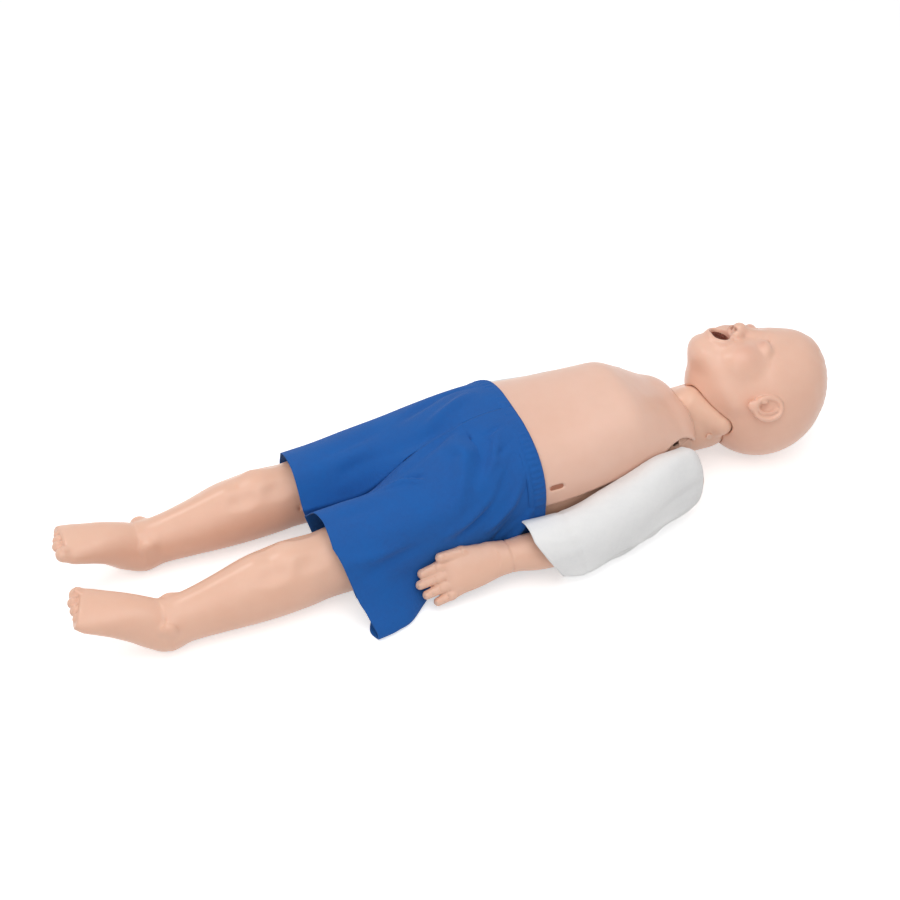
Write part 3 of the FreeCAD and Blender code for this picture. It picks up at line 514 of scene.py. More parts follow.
class Effects:
    """Node groups shared by the finishes."""

    def __init__(self) -> None:
        """Build each group once."""
        self.mottle = self.make_mottle()
        self.grain = self.make_grain()
        self.weave = self.make_weave()
        self.wear_and_shade = self.make_wear_and_shade()

    def make_mottle(self) -> bpy.types.NodeTree:
        """Soft blotches at two sizes."""
        group = Group("Mottle", {"Scale": 12.0, "Contrast": 1.0}, {"Mask": "NodeSocketFloat"})
        place = group.node("ShaderNodeTexCoord")
        parts = []
        for factor, detail in ((1.0, 3.0), (7.3, 4.0)):
            scale = group.math("MULTIPLY", group.given.outputs["Scale"], factor)
            noise = group.node("ShaderNodeTexNoise", Detail=detail)
            group.link(place.outputs["Object"], noise.inputs["Vector"])
            group.link(scale, noise.inputs["Scale"])
            parts.append(noise.outputs["Fac"])
        large = group.math("MULTIPLY", parts[0], 0.7)
        small = group.math("MULTIPLY", parts[1], 0.3)
        mixed = group.math("ADD", large, small)
        spread = group.math("MULTIPLY", group.math("SUBTRACT", mixed, 0.5), group.given.outputs["Contrast"])
        group.link(group.math("ADD", spread, 0.5, True), group.result.inputs["Mask"])
        return group.tree

    def make_grain(self) -> bpy.types.NodeTree:
        """Fine moulded grain with small pits."""
        group = Group("Moulded Grain", {"Scale": 900.0, "Pits": 0.4}, {"Height": "NodeSocketFloat"})
        place = group.node("ShaderNodeTexCoord")
        cells = group.node("ShaderNodeTexVoronoi", feature="SMOOTH_F1")
        fine = group.node("ShaderNodeTexNoise", Detail=5.0)
        for made in (cells, fine):
            group.link(place.outputs["Object"], made.inputs["Vector"])
        group.link(group.given.outputs["Scale"], cells.inputs["Scale"])
        group.link(group.math("MULTIPLY", group.given.outputs["Scale"], 0.35), fine.inputs["Scale"])
        pits = group.math("MULTIPLY", cells.outputs["Distance"], group.given.outputs["Pits"])
        group.link(group.math("ADD", pits, fine.outputs["Fac"]), group.result.inputs["Height"])
        return group.tree

    def make_weave(self) -> bpy.types.NodeTree:
        """Crossed threads with uneven yarns."""
        outputs = {"Height": "NodeSocketFloat", "Mask": "NodeSocketFloat"}
        group = Group("Crossed Threads", {"Threads": 1400.0, "Slub": 0.35}, outputs)
        place = group.node("ShaderNodeTexCoord")
        split = group.node("ShaderNodeSeparateXYZ")
        group.link(place.outputs["Object"], split.inputs[0])
        threads = group.given.outputs["Threads"]
        girth = group.math("SUBTRACT", split.outputs["Z"], split.outputs["Y"])
        warp = group.math("SINE", group.math("MULTIPLY", split.outputs["X"], threads))
        weft = group.math("SINE", group.math("MULTIPLY", girth, threads))
        slub = group.node("ShaderNodeTexNoise", Scale=260.0, Detail=3.0)
        group.link(place.outputs["Object"], slub.inputs["Vector"])
        uneven = group.math("MULTIPLY", slub.outputs["Fac"], group.given.outputs["Slub"])
        crossed = group.math("ADD", group.math("MULTIPLY", warp, weft), uneven)
        group.link(crossed, group.result.inputs["Height"])
        shade = group.math("MULTIPLY", group.math("MULTIPLY", warp, weft), 0.15)
        mask = group.math("ADD", group.math("ADD", shade, uneven), 0.3, True)
        group.link(mask, group.result.inputs["Mask"])
        return group.tree

    def make_wear_and_shade(self) -> bpy.types.NodeTree:
        """Rubbed edges, and painted shade in the hollows."""
        outputs = {"Edge": "NodeSocketFloat", "Hollow": "NodeSocketFloat"}
        group = Group("Edge Wear", {"Amount": 1.0}, outputs)
        shape = group.node("ShaderNodeNewGeometry")
        noise = group.node("ShaderNodeTexNoise", Scale=90.0, Detail=4.0)
        place = group.node("ShaderNodeTexCoord")
        group.link(place.outputs["Object"], noise.inputs["Vector"])
        sharp = group.math("MULTIPLY", group.math("SUBTRACT", shape.outputs["Pointiness"], 0.52), 14.0, True)
        broken = group.math("MULTIPLY", group.math("MULTIPLY", sharp, noise.outputs["Fac"]), 1.4, True)
        edge = group.math("MULTIPLY", broken, group.given.outputs["Amount"], True)
        group.link(edge, group.result.inputs["Edge"])
        # Painted shade: mask that darkens the hollows, where the surface curves inwards
        deep = group.math("MULTIPLY", group.math("SUBTRACT", 0.49, shape.outputs["Pointiness"]), 12.0, True)
        hollow = group.math("MULTIPLY", deep, group.given.outputs["Amount"], True)
        group.link(hollow, group.result.inputs["Hollow"])
        return group.tree


@dataclass(frozen=True)
class Tint:
    """Soft spot of another colour at a place on a finish."""

    centre: Triple
    reach: float
    colour: tuple[int, int, int]
    strength: float


class Painter:
    """Material with a Principled shader, built up step by step."""

    def __init__(self, name: str) -> None:
        """Start an empty material."""
        self.material = bpy.data.materials.new(name)
        self.material.use_nodes = True
        self.tree = self.material.node_tree
        self.shader = self.tree.nodes["Principled BSDF"]

    def node(self, kind: str, **settings: object) -> bpy.types.Node:
        """Node of a kind with its settings."""
        return new_node(self.tree, kind, **settings)

    def group(self, tree: bpy.types.NodeTree, **values: float) -> bpy.types.Node:
        """Shared group with its own values."""
        made = self.tree.nodes.new("ShaderNodeGroup")
        made.node_tree = tree
        for key, value in values.items():
            made.inputs[key].default_value = value
        return made

    def blend(self, mask: object, low: object, high: object) -> bpy.types.NodeSocket:
        """Colour between two, by a mask."""
        made = self.node("ShaderNodeMix", data_type="RGBA")
        for socket, value in ((made.inputs[0], mask), (made.inputs[6], low), (made.inputs[7], high)):
            if isinstance(value, bpy.types.NodeSocket):
                self.tree.links.new(value, socket)
            else:
                socket.default_value = value
        return made.outputs[2]

    def spread(self, mask: bpy.types.NodeSocket, low: float, high: float) -> bpy.types.NodeSocket:
        """Number between two, by a mask."""
        made = self.node("ShaderNodeMapRange", To_Min=low, To_Max=high)
        self.tree.links.new(mask, made.inputs["Value"])
        return made.outputs[0]

    def spot(self, tint: Tint) -> bpy.types.NodeSocket:
        """Mask that fades with distance from a place."""
        place = self.node("ShaderNodeTexCoord")
        away = self.node("ShaderNodeVectorMath", operation="DISTANCE")
        self.tree.links.new(place.outputs["Object"], away.inputs[0])
        away.inputs[1].default_value = [c * MM for c in tint.centre]
        fade = self.node("ShaderNodeMapRange", From_Max=tint.reach * MM, To_Min=tint.strength, To_Max=0.0)
        fade.interpolation_type = "SMOOTHSTEP"
        self.tree.links.new(away.outputs["Value"], fade.inputs["Value"])
        return fade.outputs[0]

    def bump(self, height: bpy.types.NodeSocket, strength: float, distance: float) -> None:
        """Small relief from a height."""
        made = self.node("ShaderNodeBump", Strength=strength, Distance=distance)
        if self.shader.inputs["Normal"].is_linked:
            self.tree.links.new(self.shader.inputs["Normal"].links[0].from_socket, made.inputs["Normal"])
        self.tree.links.new(height, made.inputs["Height"])
        self.tree.links.new(made.outputs[0], self.shader.inputs["Normal"])

    def feed(self, socket: bpy.types.NodeSocket, name: str) -> None:
        """Drive a shader input."""
        self.tree.links.new(socket, self.shader.inputs[name])


@dataclass(frozen=True)
class Vinyl:
    """Flesh-coloured soft vinyl with a satin surface."""

    base: tuple[int, int, int]
    warm: tuple[int, int, int]
    roughness: tuple[float, float] = (0.27, 0.38)
    tints: tuple[Tint, ...] = ()

    def make(self, name: str, effects: Effects) -> bpy.types.Material:
        """Material of this finish."""
        paint = Painter(name)
        blotch = paint.group(effects.mottle, Scale=9.0, Contrast=1.6)
        colour = paint.blend(blotch.outputs["Mask"], linear(*self.base), linear(*self.warm))
        for tint in self.tints:
            colour = paint.blend(paint.spot(tint), colour, linear(*tint.colour))
        # Painted shade: the hollows take a darker warm colour
        wear_and_shade = paint.group(effects.wear_and_shade, Amount=0.5)
        colour = paint.blend(wear_and_shade.outputs["Hollow"], colour, linear(*[int(c * 0.8) for c in self.warm]))
        paint.feed(colour, "Base Color")
        paint.feed(paint.spread(blotch.outputs["Mask"], *self.roughness), "Roughness")
        paint.shader.inputs["Subsurface Weight"].default_value = 0.12
        paint.shader.inputs["Subsurface Radius"].default_value = (0.006, 0.003, 0.002)
        paint.shader.inputs["Subsurface Scale"].default_value = 0.5
        paint.shader.inputs["Specular IOR Level"].default_value = 0.4
        grain = paint.group(effects.grain, Scale=700.0, Pits=0.5)
        paint.bump(grain.outputs["Height"], 0.12, 0.0004)
        return paint.material


@dataclass(frozen=True)
class Fabric:
    """Woven or knitted cloth with uneven threads."""

    base: tuple[int, int, int]
    shade: tuple[int, int, int]
    threads: float = 5200.0
    relief: float = 0.35
    sheen: float = 0.3
    wrinkle: float = 0.0006

    def make(self, name: str, effects: Effects) -> bpy.types.Material:
        """Material of this finish."""
        paint = Painter(name)
        weave = paint.group(effects.weave, Threads=self.threads, Slub=0.5)
        blotch = paint.group(effects.mottle, Scale=22.0, Contrast=1.8)
        threads = paint.blend(weave.outputs["Mask"], linear(*self.shade), linear(*self.base))
        faded = paint.blend(blotch.outputs["Mask"], threads, linear(*self.base))
        paint.feed(faded, "Base Color")
        paint.feed(paint.spread(blotch.outputs["Mask"], 0.78, 0.92), "Roughness")
        paint.shader.inputs["Sheen Weight"].default_value = self.sheen
        paint.shader.inputs["Sheen Roughness"].default_value = 0.5
        paint.bump(blotch.outputs["Mask"], 0.5, self.wrinkle)
        paint.bump(weave.outputs["Height"], self.relief, 0.00025)
        return paint.material


@dataclass(frozen=True)
class Moulded:
    """Hard plastic, rubber or foam with grain and rubbed edges."""

    base: tuple[int, int, int]
    worn: tuple[int, int, int]
    grain: float = 600.0
    relief: float = 0.2
    depth: float = 0.0003
    roughness: tuple[float, float] = (0.4, 0.6)
    metallic: float = 0.0
    alpha: float = 1.0

    def make(self, name: str, effects: Effects) -> bpy.types.Material:
        """Material of this finish."""
        paint = Painter(name)
        blotch = paint.group(effects.mottle, Scale=30.0, Contrast=1.4)
        wear_and_shade = paint.group(effects.wear_and_shade, Amount=0.8)
        dark = linear(*[int(c * 0.88) for c in self.base])
        colour = paint.blend(blotch.outputs["Mask"], dark, linear(*self.base))
        colour = paint.blend(wear_and_shade.outputs["Edge"], colour, linear(*self.worn))
        paint.feed(colour, "Base Color")
        paint.feed(paint.spread(blotch.outputs["Mask"], *self.roughness), "Roughness")
        paint.shader.inputs["Metallic"].default_value = self.metallic
        paint.shader.inputs["Alpha"].default_value = self.alpha
        grain = paint.group(effects.grain, Scale=self.grain, Pits=0.8)
        paint.bump(grain.outputs["Height"], self.relief, self.depth)
        return paint.material


class Finish(Enum):
    """Named finishes of the manikin."""

    SKIN = Vinyl((236, 196, 177), (228, 183, 161))
    FACE = Vinyl((240, 196, 174), (231, 181, 157))
    LIMB = Vinyl((234, 191, 168), (226, 177, 152))
    NECK = Vinyl((238, 196, 172), (228, 182, 157))
    MOUTH = Moulded((136, 66, 50), (170, 104, 82), roughness=(0.3, 0.45))
    BLUE = Fabric((3, 90, 168), (2, 60, 130), sheen=0.03)
    WHITE = Fabric((238, 237, 236), (218, 219, 221), threads=4200.0, relief=0.25, sheen=0.1, wrinkle=0.0014)
    TRAY = Moulded((226, 182, 158), (238, 204, 186))
    # Pegs: the shell's plastic painted darker brown, as painted shade in the skin's slots
    PEG = Moulded((172, 108, 82), (186, 126, 100))
    FOAM = Moulded(
        (226, 205, 160), (236, 220, 180), grain=240.0, relief=0.6, depth=0.001, roughness=(0.85, 0.95)
    )
    BLACK = Moulded((40, 40, 42), (78, 78, 80))
    FILM = Moulded((214, 220, 224), (235, 238, 240), roughness=(0.15, 0.25), alpha=0.85)
    STEEL = Moulded(
        (178, 180, 184), (215, 216, 220), grain=300.0, relief=0.1, roughness=(0.22, 0.38), metallic=1.0
    )


class Paintbox:
    """Materials made once for each finish."""

    def __init__(self, effects: Effects) -> None:
        """Keep the shared groups."""
        self.effects = effects
        self.made: dict[str, bpy.types.Material] = {}

    def get(self, finish: Finish, tints: tuple[Tint, ...] = (), label: str = "") -> bpy.types.Material:
        """Material of a finish, with spots of colour where given."""
        name = finish.name.capitalize() + label
        if name not in self.made:
            recipe = finish.value
            if tints:
                recipe = Vinyl(recipe.base, recipe.warm, recipe.roughness, tints)
            self.made[name] = recipe.make(name, self.effects)
        return self.made[name]


def report(piece: bpy.types.Object) -> bpy.types.Object:
    """Log a piece's name and size."""
    LOG.info("%s: %d faces", piece.name, len(piece.data.polygons))
    return piece


def keep_on(piece: bpy.types.Object, body: str, slot: str, *nodes: str) -> bpy.types.Object:
    """Ride a piece on a body in place of nodes."""
    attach(piece, body)
    if nodes:
        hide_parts(*nodes)
    return report(piece)


@dataclass
class ChestSkin:
    """Soft vinyl skin of the chest and belly with its openings."""

    wall: float = 5.0
    hem_z: float = 84.0
    keep: float = 0.44
    tail_x: float = -150.0
    high_x: float = 127.0
    neck_hole: float = 50.0
    armhole: float = 44.0
    slot_place: Triple = (-103.0, 108.0, 108.0)
    slot_length: float = 20.0
    slot_width: float = 7.0
    cell: float = 2.4

    def form(self, inset: float) -> Field:
        """Torso form set in by an amount."""
        rows = [(x, 0.0, (t + u) / 2, h - inset, (t - u) / 2 - inset) for x, h, t, u in TORSO_ROWS]
        return swept(rows, 2.6)

    def shape(self) -> Clay:
        """Skin with chest forms, thick rounded edges and openings."""
        clay = Clay().add(self.form(0.0)).carve(self.form(self.wall))
        for side in (-1, 1):
            clay.carve(egg((-6, 104 * side, 150), (40, 22, 14)), 10)
        clay.keep(beyond(2, self.hem_z, 1.0), 2.0)
        clay.keep(beyond(0, self.tail_x, 1.0), 2.0)
        clay.keep(beyond(0, self.high_x, -1.0), 2.0)
        clay.carve(rod(0, (0, 0, NECK_BALL[2]), self.neck_hole, 114, 150), 2.5)
        for side in (-1, 1):
            low, high = sorted((66.0 * side, 150.0 * side))
            clay.carve(rod(1, SHOULDER, self.armhole, low, high), 2.5)
            x, y, z = self.slot_place
            half = self.slot_width / 2
            reach = self.slot_length / 2 - half
            for depth in (-14, -6, 2):
                at = (y + depth) * side
                clay.carve(limb((x - reach, at, z), (x + reach, at, z), half, half), 1.2)
        return clay

    def build(self, paint: Paintbox) -> None:
        """Make the skin, which rides on the torso."""
        box = ((-154.0, -112.0, 78.0), (131.0, 112.0, 170.0))
        skin = sculpted("chest_skin_form", self.shape(), box, self.cell, paint.get(Finish.SKIN), Side.RIGHT)
        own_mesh(skin)
        keep_on(skin, "torso", "skin_vinyl", "chest_skin")


@dataclass
class Neck:
    """Neck moulding with a soft lobe above its stem."""

    tube: float = 46.0
    ball: float = 47.0
    low_x: float = 118.5

    def lobe(self, ease: float) -> Field:
        """Soft bulge under the near side of the jaw, wider by an amount."""
        return limb((142.3, -8.3, 97.7), (174, -42, 80), 24.0 + ease, 17.0 + ease)

    def shape(self) -> Clay:
        """Neck with a lobe under the jaw."""
        z = NECK_BALL[2]
        clay = Clay().add(limb((self.low_x + 2, 0, z), NECK_BALL, self.tube, self.ball))
        clay.add(self.lobe(0.0), 9)
        clay.keep(beyond(0, self.low_x, 1.0), 2.0)
        return clay

    def build(self, paint: Paintbox) -> None:
        """Make the neck."""
        box = ((116.0, -62.0, 14.0), (218.0, 50.0, 133.0))
        neck = sculpted("neck_form", self.shape(), box, 2.0, paint.get(Finish.NECK), Side.RIGHT)
        keep_on(neck, "neck", "neck_vinyl", "neck")


@dataclass
class Head:
    """Vinyl head with closed eyes, an open mouth and folded ears."""

    cell: float = 1.7
    mouth_centre: Triple = (-61.0, 0.0, 65.5)

    def frame(self) -> Frame:
        """Head's own frame: height, right side and front."""
        about = turn("Z", HEAD_LEAN) @ turn("X", HEAD_TURN)
        ball = np.array(NECK_BALL)
        origin = ball + about @ (np.array(HEAD_CENTRE) - ball)
        return Frame(origin, (about @ turn("Y", HEAD_TILT)).T)

    def at(self, height: float, side: float, front: float) -> Array:
        """Point of the head's own frame at its full size."""
        return np.array([height, side, front]) * HEAD_SCALE

    def skull(self, clay: Clay) -> None:
        """Cranium, face and jaw."""
        s = HEAD_SCALE
        clay.add(egg(self.at(8, 0, -4), (81 * s, 70 * s, 83.5 * s)), 1)
        clay.add(egg(self.at(-36, 0, 12), (56 * s, 54 * s, 59 * s)), 16)
        clay.add(egg(self.at(40, 0, 22), (40 * s, 52 * s, 54 * s)), 18)
        clay.add(egg(self.at(-77, 0, 47), (18 * s, 24 * s, 20 * s)), 18)
        for side in (-1, 1):
            clay.add(egg(self.at(-38, 31 * side, 48), (26 * s, 22 * s, 23 * s)), 14)
            clay.add(limb(self.at(-40, 48 * side, 2), self.at(-76, 20 * side, 48), 10, 11), 16)

    def brow_and_eyes(self, clay: Clay) -> None:
        """Eye hollows, brow and closed lids with their creases."""
        for side in (-1, 1):
            clay.carve(egg(self.at(-8, 28 * side, 88), (13, 20, 13)), 12)
            clay.add(egg(self.at(-11, 28 * side, 63), (10.5, 15, 13.5)), 5)
            crease = []
            for step in range(9):
                t = -1 + step / 4
                depth = 76.4 - 3.6 * t * t - 1.2 * t * side
                crease.append(self.at(-15.5 + 2.6 * t * t, 28 * side + 12.5 * t, depth))
            clay.carve(strand(crease, 1.0, 0.7), 1.6)
            fold = [p + np.array([12.0, 0, -3.4]) for p in crease]
            clay.carve(strand(fold, 1.1, 0.6), 3.0)

    def nose(self, clay: Clay) -> None:
        """Short child's nose with wings and nostrils."""
        clay.add(limb(self.at(-6, 0, 69), self.at(-35, 0, 77), 6.5, 9.0), 8)
        clay.add(egg(self.at(-38, 0, 79.5), (8.5, 9.0, 8.5)), 5)
        for side in (-1, 1):
            clay.add(egg(self.at(-42, 9.5 * side, 74), (7.5, 6.0, 7.5)), 4)
            clay.carve(limb(self.at(-48, 5.2 * side, 84), self.at(-41, 5.0 * side, 74), 3.0, 2.2), 1.4)

    def mouth(self, clay: Clay) -> None:
        """Open mouth with full lips, chin fold and the groove below the nose."""
        clay.add(egg(self.at(-61, 0, 60.5), (20, 25, 14)), 9)
        across = np.array([[0.0, 1.0, 0.0], [1.0, 0.0, 0.0], [0.0, 0.0, 1.0]])
        clay.add(hoop(self.at(-61, 0, 68), (22.0, 14.0), 4.3, across), 3.5)
        clay.add(egg(self.at(-73.5, 0, 68.5), (4.5, 13, 6)), 4)
        clay.carve(strand([self.at(-46, 0, 80.5), self.at(-51, 0, 78)], 1.8, 2.2), 3.5)
        clay.carve(self.cavity(1.6), 2.0)

    def cavity(self, ease: float) -> Field:
        """Room behind the lips, wider by an amount."""
        rows = [
            (-30.0 - ease, 0.0, 0.0, 13.0 + ease, 9.2 + ease),
            (-8.0, 0.0, 0.0, 15.6 + ease, 9.8 + ease),
            (4.0, 0.0, 0.0, 17.8 + ease, 10.9 + ease),
            (22.0, 0.0, 0.0, 20.4 + ease, 12.4 + ease),
        ]
        inward = np.array([[0.0, 0.0, 1.0], [0.0, 1.0, 0.0], [1.0, 0.0, 0.0]])
        return swept(rows, 2.0, Frame(self.at(*self.mouth_centre), inward))

    def ear(self, clay: Clay, side: int) -> None:
        """Ear with a rolled rim, inner ridge, hollow and lobe."""
        lean = turn("X", 18.0 * side)
        axes = (lean @ np.array([[1.0, 0, 0], [0, 0, 1.0], [0, float(side), 0]]).T).T
        frame = Frame(self.at(-9, 70.5 * side, 5), axes)
        ear = Clay()
        ear.add(egg((0, 0, -2), (22, 17.0, 5.0)), 2)
        ear.add(hoop((1, 0, 2.2), (18.5, 14.5), 3.3), 2.5)
        ear.add(egg((-20, 3, 1.5), (7.5, 7, 4.5)), 4)
        ear.carve(egg((2, 0.5, 4.2), (12.5, 9.4, 4.8)), 1.5)
        ear.add(strand([(14, -1, 1.6), (6, -5.4, 1.9), (-5, -5.8, 1.9), (-12, -2, 1.6)], 2.0), 2.0)
        ear.carve(egg((-3, 1.5, 2.5), (7.5, 5.0, 5.5)), 1.5)
        ear.add(egg((-5, 8.5, 1.8), (4.6, 2.8, 3.6)), 2.0)
        clay.add(within(ear, frame), 2.2)

    def hair(self, p: Array) -> Array:
        """Height of the faintly moulded hair over the cranium."""
        s = HEAD_SCALE
        height, across, front = p[:, 0] / s, np.abs(p[:, 1]) / s, p[:, 2] / s
        line = height - 56.0 + -0.30 * np.maximum(62 - front, 0) + 0.010 * (across - 24.0) ** 2
        strands = 0.22 * np.sin(front * 0.55 + 2.0 * np.sin(across * 0.11) + height * 0.12)
        return (0.9 + strands) * eased(line, 0.0, 7.0)

    def shape(self) -> Clay:
        """Whole head with room for the neck."""
        own = Clay()
        self.skull(own)
        self.brow_and_eyes(own)
        self.nose(own)
        self.mouth(own)
        for side in (-1, 1):
            self.ear(own, side)
        own.swell(self.hair)
        clay = Clay().add(within(own, self.frame()))
        clay.carve(rod(0, NECK_BALL, 47.2, 90, NECK_BALL[0]), 1.5)
        clay.carve(egg(NECK_BALL, (47.6, 47.6, 47.6)), 1.5)
        clay.carve(Neck().lobe(1.4), 2.5)
        clay.keep(beyond(2, 0.4, 1.0), 1.0)
        return clay

    def build(self, paint: Paintbox) -> None:
        """Make the head with warm lips, lids and shaded hollows."""
        frame = self.frame()
        mouth = tuple(frame.world(self.at(-61, 0, 70)))
        tints = [Tint(mouth, 21.0, (214, 136, 118), 0.75)]
        for side in (-1, 1):
            tints.append(Tint(tuple(frame.world(self.at(-16, 28 * side, 76))), 15.0, (214, 152, 134), 0.35))
            # Painted shade: a dark brown spot in each nostril
            tints.append(Tint(tuple(frame.world(self.at(-46, 6 * side, 80))), 7.0, (150, 84, 66), 0.6))
            tints.append(Tint(tuple(frame.world(self.at(-9, 72 * side, 5))), 18.0, (214, 150, 130), 0.15))
            tints.append(Tint(tuple(frame.world(self.at(-40, 40 * side, 66))), 30.0, (226, 164, 144), 0.3))
        box = ((140.0, -104.0, -2.0), (346.0, 80.0, 216.0))
        material = paint.get(Finish.FACE, tuple(tints), "WithTints")
        head = sculpted("head_form", self.shape(), box, self.cell, material, Side.RIGHT)
        keep_on(head, "head", "head_vinyl", "head")
        self.liner(paint)

    def liner(self, paint: Paintbox) -> None:
        """Make the soft liner behind the lips."""
        own = Clay().add(self.cavity(1.2)).carve(self.cavity(0.0))
        own.keep(beyond(2, self.at(*self.mouth_centre)[2] + 3.0, -1.0), 0.8)
        centre = self.frame().world(self.at(*self.mouth_centre))
        box = (tuple(centre - 42.0), tuple(centre + 30.0))
        material = paint.get(Finish.MOUTH)
        liner = sculpted("mouth_liner_form", within(own, self.frame()), box, 1.1, material, Side.RIGHT)
        keep_on(liner, "head", "liner_rubber", "mouth_liner")


@dataclass
class Arm:
    """One-piece vinyl arm with a resting hand."""

    side: Side
    cell: float = 1.5
    rows: tuple[tuple[float, ...], ...] = (
        (-85.0, 105.0, 57.0, 26.0, 26.5),
        (-55.0, 109.0, 55.0, 26.0, 27.0),
        (-10.0, 120.0, 50.0, 25.5, 26.0),
        (40.0, 132.0, 45.0, 25.0, 25.0),
        (78.0, 139.0, 42.0, 24.0, 24.0),
        (112.0, 141.0, 43.0, 25.0, 25.0),
        (150.0, 138.0, 43.0, 24.5, 24.0),
        (176.0, 134.0, 43.0, 20.5, 19.5),
        (196.0, 132.0, 42.5, 19.0, 18.5),
    )
    across: Triple = (0.0, -0.68, 0.73)
    back: Triple = (0.0, 0.73, 0.68)

    def palm(self, clay: Clay) -> None:
        """Palm with its heel."""
        frame = Frame((-165.0, 136.0, 43.0), np.array([(-1.0, 0.0, 0.0), self.across, self.back]))
        sections = [
            (-4.0, 0.0, 0.0, 20.0, 20.0),
            (17.0, 0.0, 0.0, 20.0, 18.0),
            (33.0, 0.5, 0.0, 21.5, 15.5),
            (57.0, 0.0, 0.0, 25.5, 14.0),
            (77.0, -1.0, 0.0, 26.5, 12.0),
            (89.0, -2.0, 0.0, 24.0, 9.4),
            (97.0, -2.5, 0.0, 20.0, 6.4),
            (102.0, -3.0, 0.0, 13.0, 3.0),
        ]
        clay.add(swept(sections, 2.1, Frame((-165.0, 135.0, 42.0), frame.axes)), 5)

    def finger(self, clay: Clay, index: int, tip: Array) -> None:
        """Finger with joints, a nail and knuckle dimples."""
        across, back = np.array(self.across), np.array(self.back)
        start = np.array((-246.0, 134.0, 37.0)) + across * (19.0 - 12.6 * index)
        run = tip - start
        base, end = 7.5 - 0.2 * index, 6.2 - 0.2 * index
        bent = start + run * 0.5 + back * 1.6
        finger = Clay().add(limb(start - run * 0.55, bent, base * 0.9, base * 0.96))
        finger.add(limb(bent, tip, base * 0.96, end), 3)
        for share, radius in ((0.30, 0.7), (0.66, 0.6)):
            at = start + run * share + back * (base * 0.98 + 0.5)
            finger.carve(strand([at - across * 3.6 - back, at, at + across * 3.6 - back], radius), 1.4)
        nail = tip - unit(run) * 1.0 + back * (end - 0.9)
        axes = np.array([unit(run), across, back])
        finger.carve(hoop(nail + back * 0.4, (5.2, 3.9), 0.5, axes), 0.5)
        finger.add(egg(nail, (4.9, 3.6, 1.5), axes.T), 0.5)
        clay.add(finger, 2.4)

    def thumb(self, clay: Clay) -> None:
        """Thumb with its ball and nail."""
        root = np.array((-205.0, 124.0, 52.0))
        joint = np.array((-240.0, 121.0, 59.5))
        tip = np.array((-268.0, 121.0, 60.5))
        clay.add(limb((-186, 128, 46), root, 13.0, 11.0), 6)
        thumb = Clay().add(limb(root, joint, 9.5, 7.6)).add(limb(joint, tip, 7.8, 6.4), 3)
        along = unit(tip - joint)
        up = unit(np.array((0.0, 0.35, 0.94)))
        nail = tip - along * 1.2 + up * 5.4
        axes = np.array([along, np.cross(up, along), up])
        thumb.carve(hoop(nail + up * 0.4, (5.6, 4.3), 0.5, axes), 0.5)
        thumb.add(egg(nail, (5.3, 4.0, 1.5), axes.T), 0.5)
        top = joint + up * 8.4
        thumb.carve(strand([top + axes[1] * 4 - up, top, top - axes[1] * 4 - up], 0.7), 1.4)
        clay.add(thumb, 2.5)

    def shape(self) -> Clay:
        """Right arm from the shoulder's face to the finger tips."""
        along = Frame((0, 0, 0), np.array([(-1.0, 0, 0), (0, 1.0, 0), (0, 0, 1.0)]))
        clay = Clay().add(swept(self.rows, 2.0, along))
        clay.add(egg((85, 105, 57), (27, 26, 27)), 2)
        clay.add(rod(1, SHOULDER, 27.0, 78.3, 105.0), 1)
        clay.add(egg((85, 78, 57), (34.5, 10, 34.5)), 5)
        clay.add(egg((-96, 137, 37), (26, 24, 18)), 14)
        self.palm(clay)
        for index, tip in enumerate(((-293, 124, 44), (-299, 133, 35), (-294, 143, 25), (-282, 150, 15))):
            self.finger(clay, index, np.array(tip, float))
        self.thumb(clay)
        wrist = hoop((-181, 133.5, 43), (20.9, 19.9), 0.5, np.array([(0, 1.0, 0), (0, 0, 1.0), (1.0, 0, 0)]))
        clay.carve(wrist, 3.5)
        clay.keep(beyond(1, 78.3, 1.0), 1.0)
        return clay

    def build(self, paint: Paintbox) -> None:
        """Make the arm on its side."""
        box = ((-309.0, 74.0, 4.0), (127.0, 170.0, 99.0))
        name = self.side.prefix + "_arm"
        arm = sculpted(name + "_form", self.shape(), box, self.cell, paint.get(Finish.LIMB), self.side)
        keep_on(arm, name, "limb_vinyl", name)


